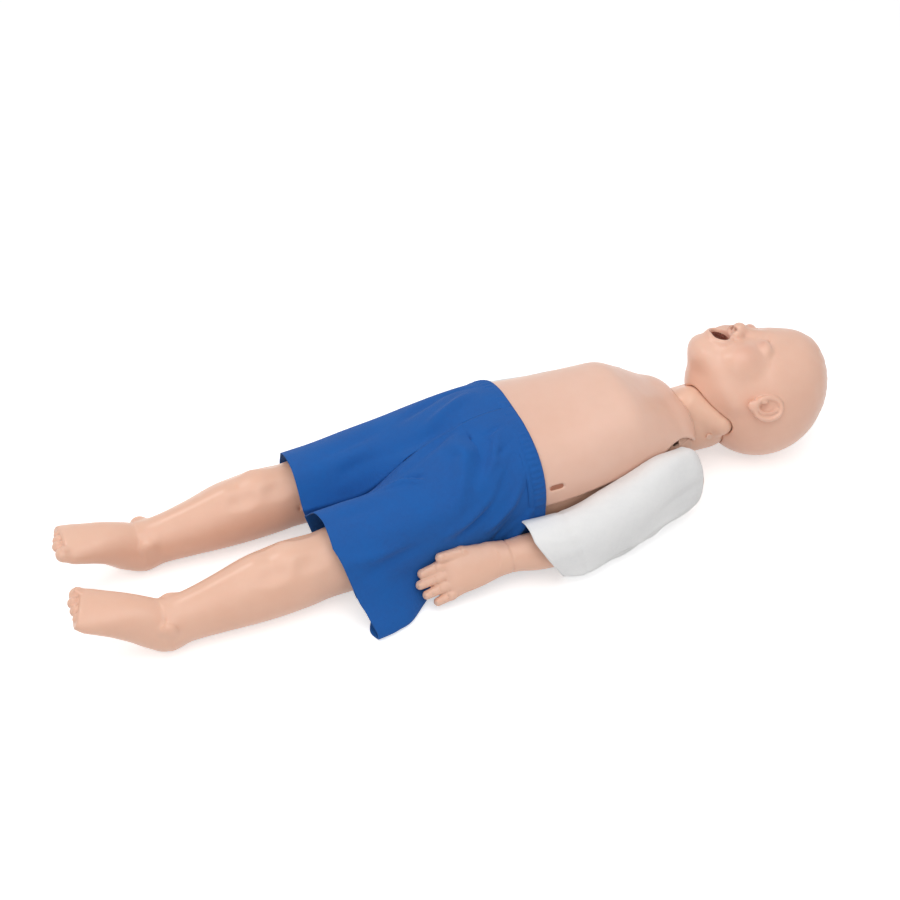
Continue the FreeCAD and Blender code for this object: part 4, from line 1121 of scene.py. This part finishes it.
@dataclass
class Leg:
    """One-piece vinyl leg with a rounded knee and a resting foot."""

    side: Side
    heel_y: float
    bow: float
    toe_y: float = 57.0
    cell: float = 2.05
    hip: Triple = (-212.0, 58.0, 60.0)
    heel_x: float = -609.0
    rows: tuple[tuple[float, ...], ...] = (
        (-162.0, 62.0, 48.0, 51.0),
        (-212.0, 60.0, 48.5, 51.5),
        (-262.0, 57.0, 46.8, 50.5),
        (-320.0, 54.0, 46.0, 48.0),
        (-375.0, 50.0, 43.5, 45.0),
        (-405.0, 47.5, 41.5, 43.5),
        (-432.0, 47.0, 43.5, 45.0),
        (-465.0, 46.0, 43.5, 45.0),
        (-500.0, 44.0, 41.0, 42.0),
        (-540.0, 40.0, 35.0, 36.0),
        (-575.0, 37.0, 30.5, 32.0),
        (-604.0, 35.0, 28.5, 31.0),
    )

    def centre_y(self, x: float) -> float:
        """Middle line's distance from the middle plane."""
        share = (self.hip[0] - x) / (self.hip[0] - self.heel_x)
        return self.hip[1] + (self.heel_y - self.hip[1]) * share + self.bow * math.sin(math.pi * share) ** 2

    def foot_frame(self) -> tuple[Frame, float]:
        """Foot's frame at the heel and its length."""
        heel = np.array((self.heel_x, self.heel_y, 31.5))
        run = np.array((-706.0, self.toe_y, 88.0)) - heel
        along = unit(run)
        across = -unit(np.cross((0, 0, 1.0), along))
        upward = np.cross(across, along)
        upward = upward if upward[2] > 0 else -upward
        return Frame(heel, np.array([along, across, upward])), float(np.linalg.norm(run))

    def foot(self, clay: Clay) -> None:
        """Heel, instep, sole arch, ankle bones and toes with nails."""
        frame, length = self.foot_frame()
        sections = [
            (-0.10, 0.0, 22.0, 22.0),
            (0.10, 0.0, 28.0, 30.0),
            (0.30, 1.0, 27.5, 29.0),
            (0.50, 0.0, 29.0, 25.0),
            (0.68, -3.0, 31.0, 20.0),
            (0.82, -5.5, 32.5, 16.0),
            (0.93, -6.5, 30.0, 12.0),
        ]
        rows = [(a * length, 0.0, up, half, thick) for a, up, half, thick in sections]
        foot = Clay().add(swept(rows, 2.1)).add(egg((0, 0, 0), (31, 30, 31)), 4)
        foot.carve(egg((0.5 * length, -26, -27), (26, 14, 9)), 10)
        for across in (-1, 1):
            foot.add(egg((0.02 * length, 25 * across, 20), (10, 6, 10)), 6)
        toes = [(-21.0, 9.8, 1.02), (-7.0, 7.2, 1.03), (4.8, 6.7, 1.00)]
        toes += [(15.6, 6.3, 0.965), (25.2, 5.9, 0.92)]
        for offset, radius, share in toes:
            end = np.array((share * length - radius, offset, -6.0))
            toe = Clay().add(limb((0.80 * length, offset * 0.98, -5.0), end, radius * 0.92, radius))
            ring = (radius * 0.98, radius * 0.98)
            toe.carve(hoop(end - (radius * 1.05, 0, 0), ring, 0.5, np.eye(3)[[1, 2, 0]]), 1.6)
            nail = end + np.array((1.0, 0, radius - 0.9))
            toe.carve(hoop(nail + (0, 0, 0.5), (radius * 0.68, radius * 0.6), 0.5), 0.5)
            toe.add(egg(nail, (radius * 0.64, radius * 0.56, 1.6)), 0.5)
            foot.add(toe, 2.0)
        clay.add(within(foot, frame), 9)

    def knee(self, clay: Clay) -> None:
        """Kneecap, the hollows beside it and the shin's edge."""
        y = self.centre_y(-446.0)
        clay.add(egg((-447, y + 1, 72), (23, 22, 19.5)), 12)
        for across in (-1, 1):
            clay.carve(egg((-424, y + 33 * across, 92), (20, 12, 10)), 12)
            clay.carve(egg((-474, y + 32 * across, 90), (18, 10, 9)), 12)
        ankle = self.centre_y(-590.0)
        clay.add(limb((-490, self.centre_y(-490) - 2, 76), (-600, ankle, 50), 9.5, 3.0), 16)
        clay.carve(strand([(-403, y - 40, 60), (-402, y - 30, 22), (-402, y, 6)], 1.0), 3)

    def shape(self) -> Clay:
        """Right leg from the hip's drum to the toes."""
        rows = [(-x, self.centre_y(x), z, a, u) for x, z, a, u in self.rows]
        along = Frame((0, 0, 0), np.array([(-1.0, 0, 0), (0, 1.0, 0), (0, 0, 1.0)]))
        clay = Clay().add(swept(rows, 2.0, along)).carve(beyond(0, -212.0, 1.0), 1)
        x, y, z = self.hip
        clay.add(rod(1, self.hip, 52.0, 30.0, y), 1).add(egg((x, y, z), (52, 49.5, 52)), 3)
        self.knee(clay)
        self.foot(clay)
        inner = Clay().add(beyond(0, -300.0, 1.0)).keep(beyond(1, 30.0, -1.0))
        clay.carve(inner, 1.0)
        clay.keep(beyond(2, 0.5, 1.0), 1.5)
        return clay

    def build(self, paint: Paintbox) -> None:
        """Make the leg on its side."""
        box = ((-716.0, 8.0, -4.0), (-156.0, 122.0, 124.0))
        name = self.side.prefix + "_leg"
        leg = sculpted(name + "_form", self.shape(), box, self.cell, paint.get(Finish.LIMB), self.side)
        keep_on(leg, name, "limb_vinyl", name)


# Cloth


@dataclass(frozen=True)
class Fold:
    """Ridge or valley of cloth along a line of points."""

    line: tuple[Triple, ...]
    height: float
    width: float

    def rise(self, p: Array) -> Array:
        """Displacement at points, fading at the line's ends."""
        points = np.array(self.line)
        best = np.full(len(p), 1e9)
        share = np.zeros(len(p))
        count = len(points) - 1
        for i in range(count):
            run = points[i + 1] - points[i]
            t = np.clip((p - points[i]) @ run / (run @ run), 0, 1)
            away = np.linalg.norm(p - points[i] - t[:, None] * run, axis=1)
            closer = away < best
            best = np.where(closer, away, best)
            share = np.where(closer, (i + t) / count, share)
        fade = np.sin(np.pi * np.clip(share * 0.9 + 0.05, 0, 1)) ** 0.7
        return self.height * fade * np.exp(-((best / (0.9 * self.width)) ** 2))


class Cloth:
    """Grid of cloth points with folds, in millimetres."""

    def __init__(self, points: Array) -> None:
        """Take a grid of (rows, columns, 3)."""
        self.points = points

    def normals(self) -> Array:
        """Unit normals of the grid."""
        down = np.gradient(self.points, axis=0)
        along = np.gradient(self.points, axis=1)
        n = np.cross(down, along)
        return n / (np.linalg.norm(n, axis=2)[..., None] + 1e-9)

    def push(self, amount: Array) -> None:
        """Move the points along their normals."""
        self.points = self.points + self.normals() * amount[..., None]

    def fold(self, folds: Sequence[Fold], strength: float) -> None:
        """Raise all folds."""
        flat = self.points.reshape(-1, 3)
        total = strength * sum(fold.rise(flat) for fold in folds)
        self.push(total.reshape(self.points.shape[:2]))


def grid_faces(rows: int, columns: int, start: int = 0) -> list[tuple[int, ...]]:
    """Quads of a grid of vertices."""
    faces = []
    for i in range(rows - 1):
        for j in range(columns - 1):
            a = start + i * columns + j
            faces.append((a, a + 1, a + columns + 1, a + columns))
    return faces


def weld(piece: bpy.types.Object) -> None:
    """Join coinciding points of a mesh, and drop the ones that no face uses."""
    work = bmesh.new()
    work.from_mesh(piece.data)
    bmesh.ops.remove_doubles(work, verts=work.verts, dist=0.00001)
    bmesh.ops.dissolve_degenerate(work, edges=work.edges, dist=0.00001)
    loose = [v for v in work.verts if not v.link_faces]
    bmesh.ops.delete(work, geom=loose, context="VERTS")
    work.to_mesh(piece.data)
    work.free()


def thicken(piece: bpy.types.Object, thickness: float) -> None:
    """Give a sheet its thickness with rounded rims, and apply it."""
    wall = piece.modifiers.new("wall", "SOLIDIFY")
    wall.thickness = thickness * MM
    wall.offset = 0.0
    wall.use_even_offset = False
    graph = bpy.context.evaluated_depsgraph_get()
    mesh = bpy.data.meshes.new_from_object(piece.evaluated_get(graph))
    piece.modifiers.clear()
    old = piece.data
    piece.data = mesh
    bpy.data.meshes.remove(old)
    piece.data.polygons.foreach_set("use_smooth", [True] * len(piece.data.polygons))


def net(rows: Sequence[Sequence[Triple]], down: int, along: int) -> Array:
    """Smooth grid through a net of control points.

    Args:
        rows: control points by row.
        down: rows of the finished grid.
        along: columns of the finished grid.

    Returns:
        Array of (down, along, 3).
    """
    table = np.asarray(rows, float)
    first = curve_rows(table.reshape(len(table), -1), down).reshape(down, table.shape[1], 3)
    second = curve_rows(first.transpose(1, 0, 2).reshape(table.shape[1], -1), along)
    return second.reshape(along, down, 3).transpose(1, 0, 2)


@dataclass
class Shorts:
    """Blue cloth shorts in two halves, with a gathered waistband."""

    thickness: float = 1.3
    floor_z: float = 1.3
    crotch_row: int = 4
    down: int = 140
    along: int = 150
    fold_strength: float = 3.3

    def outline(self) -> list[tuple[float, list[tuple[float, float]]]]:
        """Control outlines of one half, from the front middle round the outside to the under middle."""
        return [
            (-121.0, [(0, 166.0), (40, 164.5), (79.5, 149.5), (102, 121),
             (111.6, 78), (106, 36), (85, 7), (44, 1.5), (0, 1.5)]),
            (-155.0, [(0, 166), (40, 164.5), (79.5, 149.5), (102.5, 121),
             (111.6, 78), (106.5, 36), (85, 7), (44, 1.5), (0, 1.5)]),
            (-190.0, [(0, 159), (42, 158), (80, 145), (104, 119),
             (112, 78), (108, 36), (88, 6), (44, 1.5), (0, 1.5)]),
            (-228.0, [(0, 145), (42, 146), (80, 136), (104, 116),
             (114, 78), (112, 36), (94, 5), (44, 1.5), (0, 1.5)]),
            (-270.0, [(0, 120), (42, 130), (78, 126), (104, 110),
             (114, 78), (114, 40), (114, 4), (48, 1.5), (0, 1.5)]),
            (-320.0, [(2.5, 84), (40, 120), (74, 120), (103, 104),
             (116, 72), (124, 42), (156, 4), (78, 1.5), (3, 30)]),
            (-365.0, [(3, 78), (38, 113.5), (72, 114.5), (102, 98),
             (118, 72), (134, 42), (166, 4), (86, 1.5), (5, 26)]),
            (-407.0, [(5, 76), (38, 109), (72, 110.5), (102, 94),
             (122, 68), (140, 40), (171, 4), (88, 1.5), (8, 24)]),
        ]

    def inner(self) -> list[tuple[float, list[tuple[float, float]]]]:
        """Control outlines of the inner leg, from under to front."""
        rows = []
        for x, ring in self.outline()[self.crotch_row :]:
            low, high = ring[-1], ring[0]
            bottom = 1.5 if x > -290 else 16.0
            middle = (low[0] + high[0]) / 2 + (0.2 if x > -290 else -1.0)
            rows.append((x, [low, (middle, bottom * 0.4 + 0.6 * (low[1] + high[1]) / 2), high]))
        return rows

    def hem_shift(self, points: Array, sign: int) -> Array:
        """Slant of the hem towards its outer corner."""
        outer = np.clip((points[..., 1] - 95.0) / 75.0, 0, 1)
        weight = eased(-points[..., 0], 300.0, 407.0)
        if sign < 0:
            shift = 10.0 * np.clip(points[..., 1] / 60.0, 0, 1) + 28.0 * outer
        else:
            shift = 2.0 + 10.0 * outer
        low = (1.0 - eased(points[..., 2], 4.0, 42.0)) * (1.0 - eased(points[..., 1], 118.0, 160.0))
        return (shift + 26.0 * low) * weight

    def half(self, side: Side, paint: Paintbox) -> bpy.types.Object:
        """One half of the shorts."""
        rows = [[(x, y, z) for y, z in ring] for x, ring in self.outline()]
        grid = net(rows, self.down, self.along)
        cloth = Cloth(grid)
        lifted = np.maximum(cloth.points[..., 2], self.floor_z)
        cloth.points[..., 2] = lifted
        cloth.points[..., 0] += self.hem_shift(cloth.points, side.value)
        cloth.fold(self.folds(side), self.fold_strength)
        cloth.points = cleared(cloth.points, ChestSkin().form(0.0), 2.0)
        cloth.points[..., 2] = np.maximum(cloth.points[..., 2], self.floor_z)
        cloth.points[..., 1] = np.maximum(cloth.points[..., 1], 0.0)
        cloth.points[:, -1, 1] = grid[:, -1, 1]
        points = cloth.points
        start = round(self.crotch_row / (len(rows) - 1) * (self.down - 1))
        inner = self.inner_panel(points[start:])
        vertices = np.vstack([points.reshape(-1, 3), inner.reshape(-1, 3)])
        faces = grid_faces(self.down, self.along)
        faces += grid_faces(inner.shape[0], inner.shape[1], self.down * self.along)
        vertices[:, 1] *= side.value
        if side is Side.LEFT:
            faces = [face[::-1] for face in faces]
        made = mesh_object(side.prefix + "_shorts_half", vertices, np.array(faces), paint.get(Finish.BLUE))
        weld(made)
        thicken(made, self.thickness)
        return made

    def inner_panel(self, outer: Array) -> Array:
        """Panel between the under edge and the front edge of a leg."""
        low, high = outer[:, -1], outer[:, 0]
        share = np.linspace(0, 1, 34)[None, :, None]
        panel = low[:, None] * (1 - share) + high[:, None] * share
        bulge = np.sin(np.pi * share[..., 0])
        depth = eased(-panel[..., 0], 270.0, 320.0)
        panel[..., 1] = panel[..., 1] - 0.6 * bulge * depth
        panel[..., 1] = np.maximum(panel[..., 1], 0.0)
        return panel

    def folds(self, side: Side) -> list[Fold]:
        """Creases of one half, given for the right side."""
        if side is Side.LEFT:
            return [
                Fold(((-352, 6, 98), (-300, 8, 124), (-262, 10, 138)), -7.0, 8.0),
                Fold(((-345, 26, 108), (-300, 22, 128), (-250, 14, 146), (-205, 4, 158)), 3.5, 9.0),
                Fold(((-325, 30, 118), (-285, 34, 132), (-262, 50, 130)), 2.2, 6.0),
                Fold(((-318, 38, 116), (-278, 44, 130), (-254, 62, 126)), -2.0, 5.0),
                Fold(((-215, 20, 156), (-205, 50, 150), (-225, 84, 130), (-240, 100, 112)), -3.0, 12.0),
                Fold(((-190, 14, 160), (-180, 46, 156), (-196, 80, 138)), 2.6, 10.0),
                Fold(((-160, 40, 160), (-176, 70, 148), (-210, 92, 122)), -2.2, 7.0),
                Fold(((-150, 72, 150), (-172, 92, 130), (-205, 106, 100), (-240, 112, 80)), 3.0, 6.5),
                Fold(((-142, 88, 136), (-166, 104, 108), (-200, 111, 78)), -3.2, 6.0),
                Fold(((-138, 98, 118), (-160, 109, 88), (-190, 110, 56)), 2.8, 5.5),
                Fold(((-136, 104, 96), (-154, 110, 66), (-180, 108, 34)), -2.6, 5.5),
                Fold(((-180, 96, 124), (-225, 108, 100), (-262, 114, 86)), -1.6, 8.0),
                Fold(((-150, 30, 163), (-166, 34, 163), (-186, 42, 158)), 1.6, 4.0),
                Fold(((-146, 56, 158), (-160, 62, 155), (-178, 70, 148)), 1.6, 4.0),
                Fold(((-385, 130, 60), (-330, 116, 74), (-290, 108, 84)), 1.4, 12.0),
                Fold(((-382, 60, 112), (-350, 62, 116), (-318, 66, 120)), 0.9, 10.0),
                Fold(((-390, 110, 84), (-345, 112, 84), (-300, 110, 90)), -1.4, 9.0),
            ]
        return [
            Fold(((-352, 4, 98), (-300, 4, 122), (-262, 2, 136)), -6.0, 9.0),
            Fold(((-340, 22, 108), (-295, 18, 130), (-240, 10, 148), (-200, 6, 158)), 3.0, 11.0),
            Fold(((-230, 24, 150), (-190, 34, 158), (-160, 46, 160)), -2.0, 9.0),
            Fold(((-250, 60, 134), (-215, 70, 144), (-180, 72, 148)), 1.8, 10.0),
            Fold(((-370, 50, 112), (-320, 56, 120), (-280, 60, 126)), 1.6, 12.0),
            Fold(((-146, 60, 156), (-166, 68, 152), (-190, 76, 146)), 1.6, 5.0),
            Fold(((-142, 90, 134), (-168, 104, 108), (-205, 110, 84)), -2.4, 7.0),
            Fold(((-138, 100, 110), (-160, 109, 84), (-196, 111, 60)), 2.2, 6.0),
            Fold(((-390, 132, 56), (-340, 118, 72), (-290, 110, 80)), -1.8, 11.0),
        ]

    def waistband(self, paint: Paintbox) -> bpy.types.Object:
        """Elastic band with fine gathers round the waist."""
        count, rows = 640, 15
        points = np.zeros((rows, count + 1, 3))
        angle = np.linspace(0, 2 * math.pi, count + 1)
        for row in range(rows):
            share = row / (rows - 1)
            x = -120.5 - 24.0 * share
            roll = 1.6 * math.sin(math.pi * share) ** 0.5
            pleats = np.sin(angle * 66 + 0.7 * np.sin(angle * 9))
            gather = 0.55 * pleats * math.sin(math.pi * min(1, share * 1.25))
            seam = -0.8 if row == rows - 5 else 0.0
            half, top, under = 110.2, 165.0, 1.0
            reach = roll + gather + seam
            c, s = np.cos(angle), np.sin(angle)
            a = (half + reach) * np.sign(c) * np.abs(c) ** (2 / 2.6)
            b = (top - under) / 2 * np.sign(s) * np.abs(s) ** (2 / 2.6)
            z = (top + under) / 2 + b + reach * s
            points[row] = np.stack([np.full(count + 1, x), a, np.maximum(z, 0.9)], 1)
        faces = np.array(grid_faces(rows, count + 1))
        band = mesh_object("waistband", points.reshape(-1, 3), faces, paint.get(Finish.BLUE))
        weld(band)
        thicken(band, 1.4)
        return band

    def build(self, paint: Paintbox) -> None:
        """Make both halves and the band."""
        band = self.waistband(paint)
        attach(band, "torso")
        report(band)
        halves = [self.half(side, paint) for side in Side]
        for side, made in zip(Side, halves):
            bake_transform(made)
            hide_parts("shorts")
            report(made)


def cleared(points: Array, form: Field, gap: float) -> Array:
    """Grid of points pushed out of a form until they clear it by a gap."""
    flat = points.reshape(-1, 3).copy()
    reach = 0.5
    for _ in range(4):
        value = form(flat)
        slope = np.stack([form(flat + reach * np.eye(3)[k]) - value for k in range(3)], 1) / reach
        slope /= np.linalg.norm(slope, axis=1)[:, None] + 1e-6
        flat += slope * np.clip(gap - value, 0.0, 6.0)[:, None]
    return flat.reshape(points.shape)


@dataclass
class Sleeve:
    """Loose white sleeve round the upper arm, open at the cuff."""

    side: Side
    full: float
    thickness: float = 1.1
    face_y: float = 78.0
    fold_strength: float = 3.2

    def rows(self) -> list[tuple[float, float, float, float, float]]:
        """Sections of (x, inner side, outer side, low, high)."""
        face, full = self.face_y, self.full
        return [
            (104.5, face + 14, 112.0, 36.0, 70.0 + 0.3 * full),
            (102.0, face - 4, 126.0, 16.0, 86.0 + 0.5 * full),
            (92.0, face - 8, 132.0, 10.0, 90.5 + 0.9 * full),
            (78.0, face - 6, 135.0 + 0.2 * full, 7.0, 92.0 + full),
            (42.0, face - 4.0, 143.5 + 0.4 * full, 5.0, 97.0 + full),
            (0.0, face + 7.0, 154.5 + 0.6 * full, 4.0, 91.0 + 0.9 * full),
            (-45.0, face + 17, 164.5 + 0.8 * full, 3.0, 85.0 + 0.8 * full),
            (-85.0, face + 27, 169.5 + full, 2.5, 82.0 + 0.7 * full),
            (-132.0, face + 27, 168.0 + 0.6 * full, 2.5, 81.0 + 0.5 * full),
        ]

    def grid(self) -> Array:
        """Cloth points of the right sleeve."""
        table = curve_rows([(-x, i, o, l, h) for x, i, o, l, h in self.rows()], 134)
        table[:, 0] = -table[:, 0]
        angle = np.linspace(0, 2 * math.pi, 161) - math.pi * 0.75
        c, s = np.cos(angle), np.sin(angle)
        a = np.sign(c) * np.abs(c) ** (2 / 2.2)
        b = np.sign(s) * np.abs(s) ** (2 / 2.2)
        x, inner, outer, low, high = (table[:, k][:, None] for k in range(5))
        y = (inner + outer) / 2 + (outer - inner) / 2 * a
        z = (low + high) / 2 + (high - low) / 2 * b
        shear = eased(-x, 60.0, 132.0) * (-107.0 + (-158.0 + 107.0) * np.clip(z / 82.0, 0, 1) + 132.0)
        return np.stack([x + shear, y, z], -1)

    def folds(self) -> list[Fold]:
        """Slack of the cloth, given for the right side."""
        return [
            Fold(((96, 100, 98), (60, 112, 100), (20, 124, 96), (-20, 134, 88)), 2.2, 11.0),
            Fold(((90, 128, 70), (50, 136, 70), (5, 148, 62), (-40, 158, 50)), -2.4, 9.0),
            Fold(((80, 132, 40), (40, 142, 44), (0, 152, 40), (-30, 160, 30)), 2.6, 8.0),
            Fold(((72, 96, 96), (40, 100, 98), (0, 112, 92), (-40, 122, 84)), -1.8, 8.0),
            Fold(((30, 140, 20), (10, 148, 26), (-20, 158, 38), (-60, 160, 58)), 2.2, 7.0),
            Fold(((26, 144, 14), (4, 153, 20), (-30, 163, 26), (-70, 170, 30)), -2.4, 6.0),
            Fold(((20, 146, 8), (-6, 156, 12), (-40, 167, 14)), 2.4, 6.0),
            Fold(((-20, 132, 86), (-60, 140, 82), (-100, 146, 80), (-140, 146, 80)), 2.0, 12.0),
            Fold(((-40, 156, 64), (-80, 164, 58), (-120, 168, 50)), -2.0, 10.0),
            Fold(((-60, 168, 34), (-90, 174, 30), (-120, 174, 26)), 2.0, 9.0),
            Fold(((-70, 124, 78), (-100, 124, 78), (-140, 122, 76)), -1.6, 8.0),
            Fold(((98, 80, 96), (70, 82, 97), (45, 84, 97)), 1.2, 4.0),
            Fold(((40, 118, 99), (16, 130, 92), (0, 142, 78)), -1.4, 6.0),
        ]

    def build(self, paint: Paintbox) -> None:
        """Make the sleeve with its hem on its side."""
        cloth = Cloth(self.grid())
        centre = cloth.points.mean(axis=1, keepdims=True)
        outward = np.sum(cloth.normals() * (cloth.points - centre), axis=2).mean()
        if outward < 0:
            cloth.points = cloth.points[:, ::-1]
        cloth.fold(self.folds(), self.fold_strength)
        rows = cloth.points.shape[0]
        hem = np.zeros(cloth.points.shape[:2])
        place = np.arange(rows) / (rows - 1)
        hem += (0.7 * eased(place, 0.90, 0.91) - 0.9 * np.exp(-(((place - 0.905) / 0.006) ** 2)))[:, None]
        girth = np.arange(cloth.points.shape[1]) * 0.55
        ripple = 0.35 * np.sin(girth)[None, :] * np.exp(-(((place - 0.92) / 0.03) ** 2))[:, None]
        cloth.push(hem + ripple)
        cloth.points[..., 2] = np.maximum(cloth.points[..., 2], 2.0)
        points = cleared(cloth.points, ChestSkin().form(-1.4), 1.2)
        keep = ~((points[..., 0] > -20.0) & (points[..., 1] < self.face_y + 2.2))
        points[..., 1] = np.where(keep, points[..., 1], np.maximum(points[..., 1], self.face_y + 2.0))
        columns = points.shape[1]
        faces = []
        for face in grid_faces(rows, columns):
            flags = [keep[index // columns, index % columns] for index in face]
            if any(flags):
                faces.append(face)
        vertices = points.reshape(-1, 3) * np.array([1.0, self.side.value, 1.0])
        if self.side is Side.LEFT:
            faces = [face[::-1] for face in faces]
        name = self.side.prefix + "_sleeve"
        made = mesh_object(name + "_cloth", vertices, np.array(faces), paint.get(Finish.WHITE))
        weld(made)
        thicken(made, self.thickness)
        keep_on(made, self.side.prefix + "_arm", "white_cloth", name)


@dataclass
class Padding:
    """Hidden soft pieces and the spring, carried on the torso."""

    travel: float = 45.0
    peg_slot: str = "shell_plastic"
    skin: ChestSkin = field(default_factory=ChestSkin)

    def stand_in(
        self,
        name: str,
        node: bpy.types.Object,
        material: bpy.types.Material,
        slot: str,
    ) -> None:
        """Piece of a node's own shape with its own finish, carried on the torso.

        Args:
            name: Name of the new piece.
            node: Node that it stands for.
            material: Finish of the piece.
            slot: Record's slot of the finish; not used.
        """
        made = bpy.data.objects.new(name, node.data.copy())
        made.data.materials.clear()
        made.data.materials.append(material)
        bpy.context.scene.collection.objects.link(made)
        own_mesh(made)
        keep_on(made, "torso", slot, node.name)

    def build(self, nodes: dict[str, bpy.types.Object], paint: Paintbox) -> None:
        """Make the spring, and the foam and pegs that stay with the skin."""
        steel = paint.get(Finish.STEEL)
        self.stand_in("spring_coil", nodes["compression_spring"], steel, "spring_steel")
        self.stand_in("belly_pad", nodes["abdomen_foam"], paint.get(Finish.FOAM), "foam")
        self.stand_in("neck_pad", nodes["neck_block"], paint.get(Finish.TRAY), "foam_block")
        for side in Side:
            node = nodes[side.prefix + "_skin_peg"]
            name = side.prefix + "_peg_tab"
            # Pegs take a darker finish than the shell, as painted shade in the skin's slots
            self.stand_in(name, node, paint.get(Finish.PEG), self.peg_slot)


class Hardware:
    """Construction pieces that keep their own shape and get a finish."""

    finishes: dict[str, Finish] = {
        "back_shell": Finish.TRAY,
        "spring_seat": Finish.BLACK,
        "seat_screws": Finish.STEEL,
        "chest_plate": Finish.BLACK,
        "lung_bag": Finish.FILM,
        "neck_nut": Finish.BLACK,
        "head_pin": Finish.TRAY,
        "pelvis_block": Finish.FOAM,
        "hip_rod": Finish.STEEL,
    }

    def build(self, nodes: dict[str, bpy.types.Object], paint: Paintbox) -> None:
        """Dress every carried-over node."""
        paired = {"shoulder_bolt": Finish.STEEL, "shoulder_nut": Finish.STEEL}
        table = dict(self.finishes)
        for name, finish in paired.items():
            for side in Side:
                table[side.prefix + "_" + name] = finish
        for name, finish in table.items():
            slots = nodes[name].material_slots
            material = paint.get(finish)
            if not slots:
                nodes[name].data.materials.append(material)
            for place in slots:
                place.material = material
            LOG.info("%s: %s", name, finish.name.lower())


@dataclass
class Studio:
    """Camera at the photograph's angle, soft light and a white floor."""

    target: Triple = (-0.230, 0.0, 0.060)
    azimuth: float = -21.5
    elevation: float = 43.0
    distance: float = 1.7
    lens: float = 51.86
    shift: tuple[float, float] = (0.0191, 0.0427)

    def camera(self) -> None:
        """Make and use the camera."""
        a, e = math.radians(self.azimuth), math.radians(self.elevation)
        back = Vector((math.sin(a) * math.cos(e), -math.cos(a) * math.cos(e), math.sin(e)))
        data = bpy.data.cameras.new("camera")
        data.lens = self.lens
        data.sensor_width = 36.0
        data.shift_x, data.shift_y = self.shift
        camera = bpy.data.objects.new("camera", data)
        camera.location = Vector(self.target) + back * self.distance
        camera.rotation_mode = "QUATERNION"
        camera.rotation_quaternion = (-back).to_track_quat("-Z", "Y")
        bpy.context.scene.collection.objects.link(camera)
        bpy.context.scene.camera = camera

    def lamp(self, name: str, place: Triple, aim: Triple, size: float, power: float) -> None:
        """Large soft lamp."""
        data = bpy.data.lights.new(name, "AREA")
        data.size = size
        data.energy = power
        lamp = bpy.data.objects.new(name, data)
        lamp.location = place
        lamp.rotation_mode = "QUATERNION"
        lamp.rotation_quaternion = (Vector(aim) - Vector(place)).to_track_quat("-Z", "Y")
        bpy.context.scene.collection.objects.link(lamp)

    def seen_white(self, tree: bpy.types.NodeTree) -> bpy.types.NodeSocket:
        """Mask of camera, glossy and transmission rays."""
        path = tree.nodes.new("ShaderNodeLightPath")
        total = math_node(tree, "ADD", path.outputs["Is Camera Ray"], path.outputs["Is Glossy Ray"], True)
        return math_node(tree, "ADD", total, path.outputs["Is Transmission Ray"], True)

    def world(self, level: float) -> None:
        """Even fill light, seen as white."""
        world = bpy.data.worlds.new("studio")
        bpy.context.scene.world = world
        world.use_nodes = True
        tree = world.node_tree
        shader = tree.nodes["Background"]
        shader.inputs["Color"].default_value = (1, 1, 1, 1)
        strength = tree.nodes.new("ShaderNodeMapRange")
        strength.inputs["To Min"].default_value = level
        strength.inputs["To Max"].default_value = 1.0
        tree.links.new(self.seen_white(tree), strength.inputs["Value"])
        tree.links.new(strength.outputs[0], shader.inputs["Strength"])

    def floor(self) -> None:
        """White floor that keeps a faint shadow."""
        mesh = bpy.data.meshes.new("floor")
        reach = 6.0
        corners = [(-reach, -reach, 0), (reach, -reach, 0), (reach, reach, 0), (-reach, reach, 0)]
        mesh.from_pydata(corners, [], [(0, 1, 2, 3)])
        floor = bpy.data.objects.new("floor", mesh)
        bpy.context.scene.collection.objects.link(floor)
        paint = Painter("StudioFloor")
        paint.shader.inputs["Base Color"].default_value = (0.86, 0.86, 0.86, 1)
        paint.shader.inputs["Roughness"].default_value = 0.9
        paint.shader.inputs["Specular IOR Level"].default_value = 0.0
        paint.shader.inputs["Emission Color"].default_value = (1, 1, 1, 1)
        strength = paint.node("ShaderNodeMath", operation="MULTIPLY")
        strength.inputs[1].default_value = 0.5
        paint.tree.links.new(self.seen_white(paint.tree), strength.inputs[0])
        paint.tree.links.new(strength.outputs[0], paint.shader.inputs["Emission Strength"])
        mesh.materials.append(paint.material)

    def build(self) -> None:
        """Set up the whole studio."""
        self.camera()
        self.lamp("overhead", (-0.35, -0.5, 1.9), (-0.2, 0.0, 0.0), 1.8, 17.5)
        self.lamp("front", (-1.3, -1.5, 1.2), (-0.2, 0.0, 0.0), 1.4, 5.0)
        self.lamp("key", (-0.9, 0.7, 1.3), (-0.3, 0.0, 0.0), 0.35, 4.0)
        self.world(0.48)
        self.floor()
        bpy.context.scene.view_settings.view_transform = "Standard"


def main() -> None:
    """Build and dress the manikin, then set up the studio."""
    logging.basicConfig(level=logging.INFO, format="%(name)s %(message)s")
    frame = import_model()
    paint = Paintbox(Effects())
    ChestSkin().build(paint)
    Neck().build(paint)
    Head().build(paint)
    for side in Side:
        Arm(side).build(paint)
    Leg(Side.RIGHT, heel_y=63.0, bow=11.0).build(paint)
    Leg(Side.LEFT, heel_y=80.0, bow=-2.0).build(paint)
    Shorts().build(paint)
    Sleeve(Side.RIGHT, full=0.0).build(paint)
    Sleeve(Side.LEFT, full=12.0).build(paint)
    Padding().build(frame["nodes"], paint)
    Hardware().build(frame["nodes"], paint)
    Studio().build()


if __name__ == "__main__":
    main()
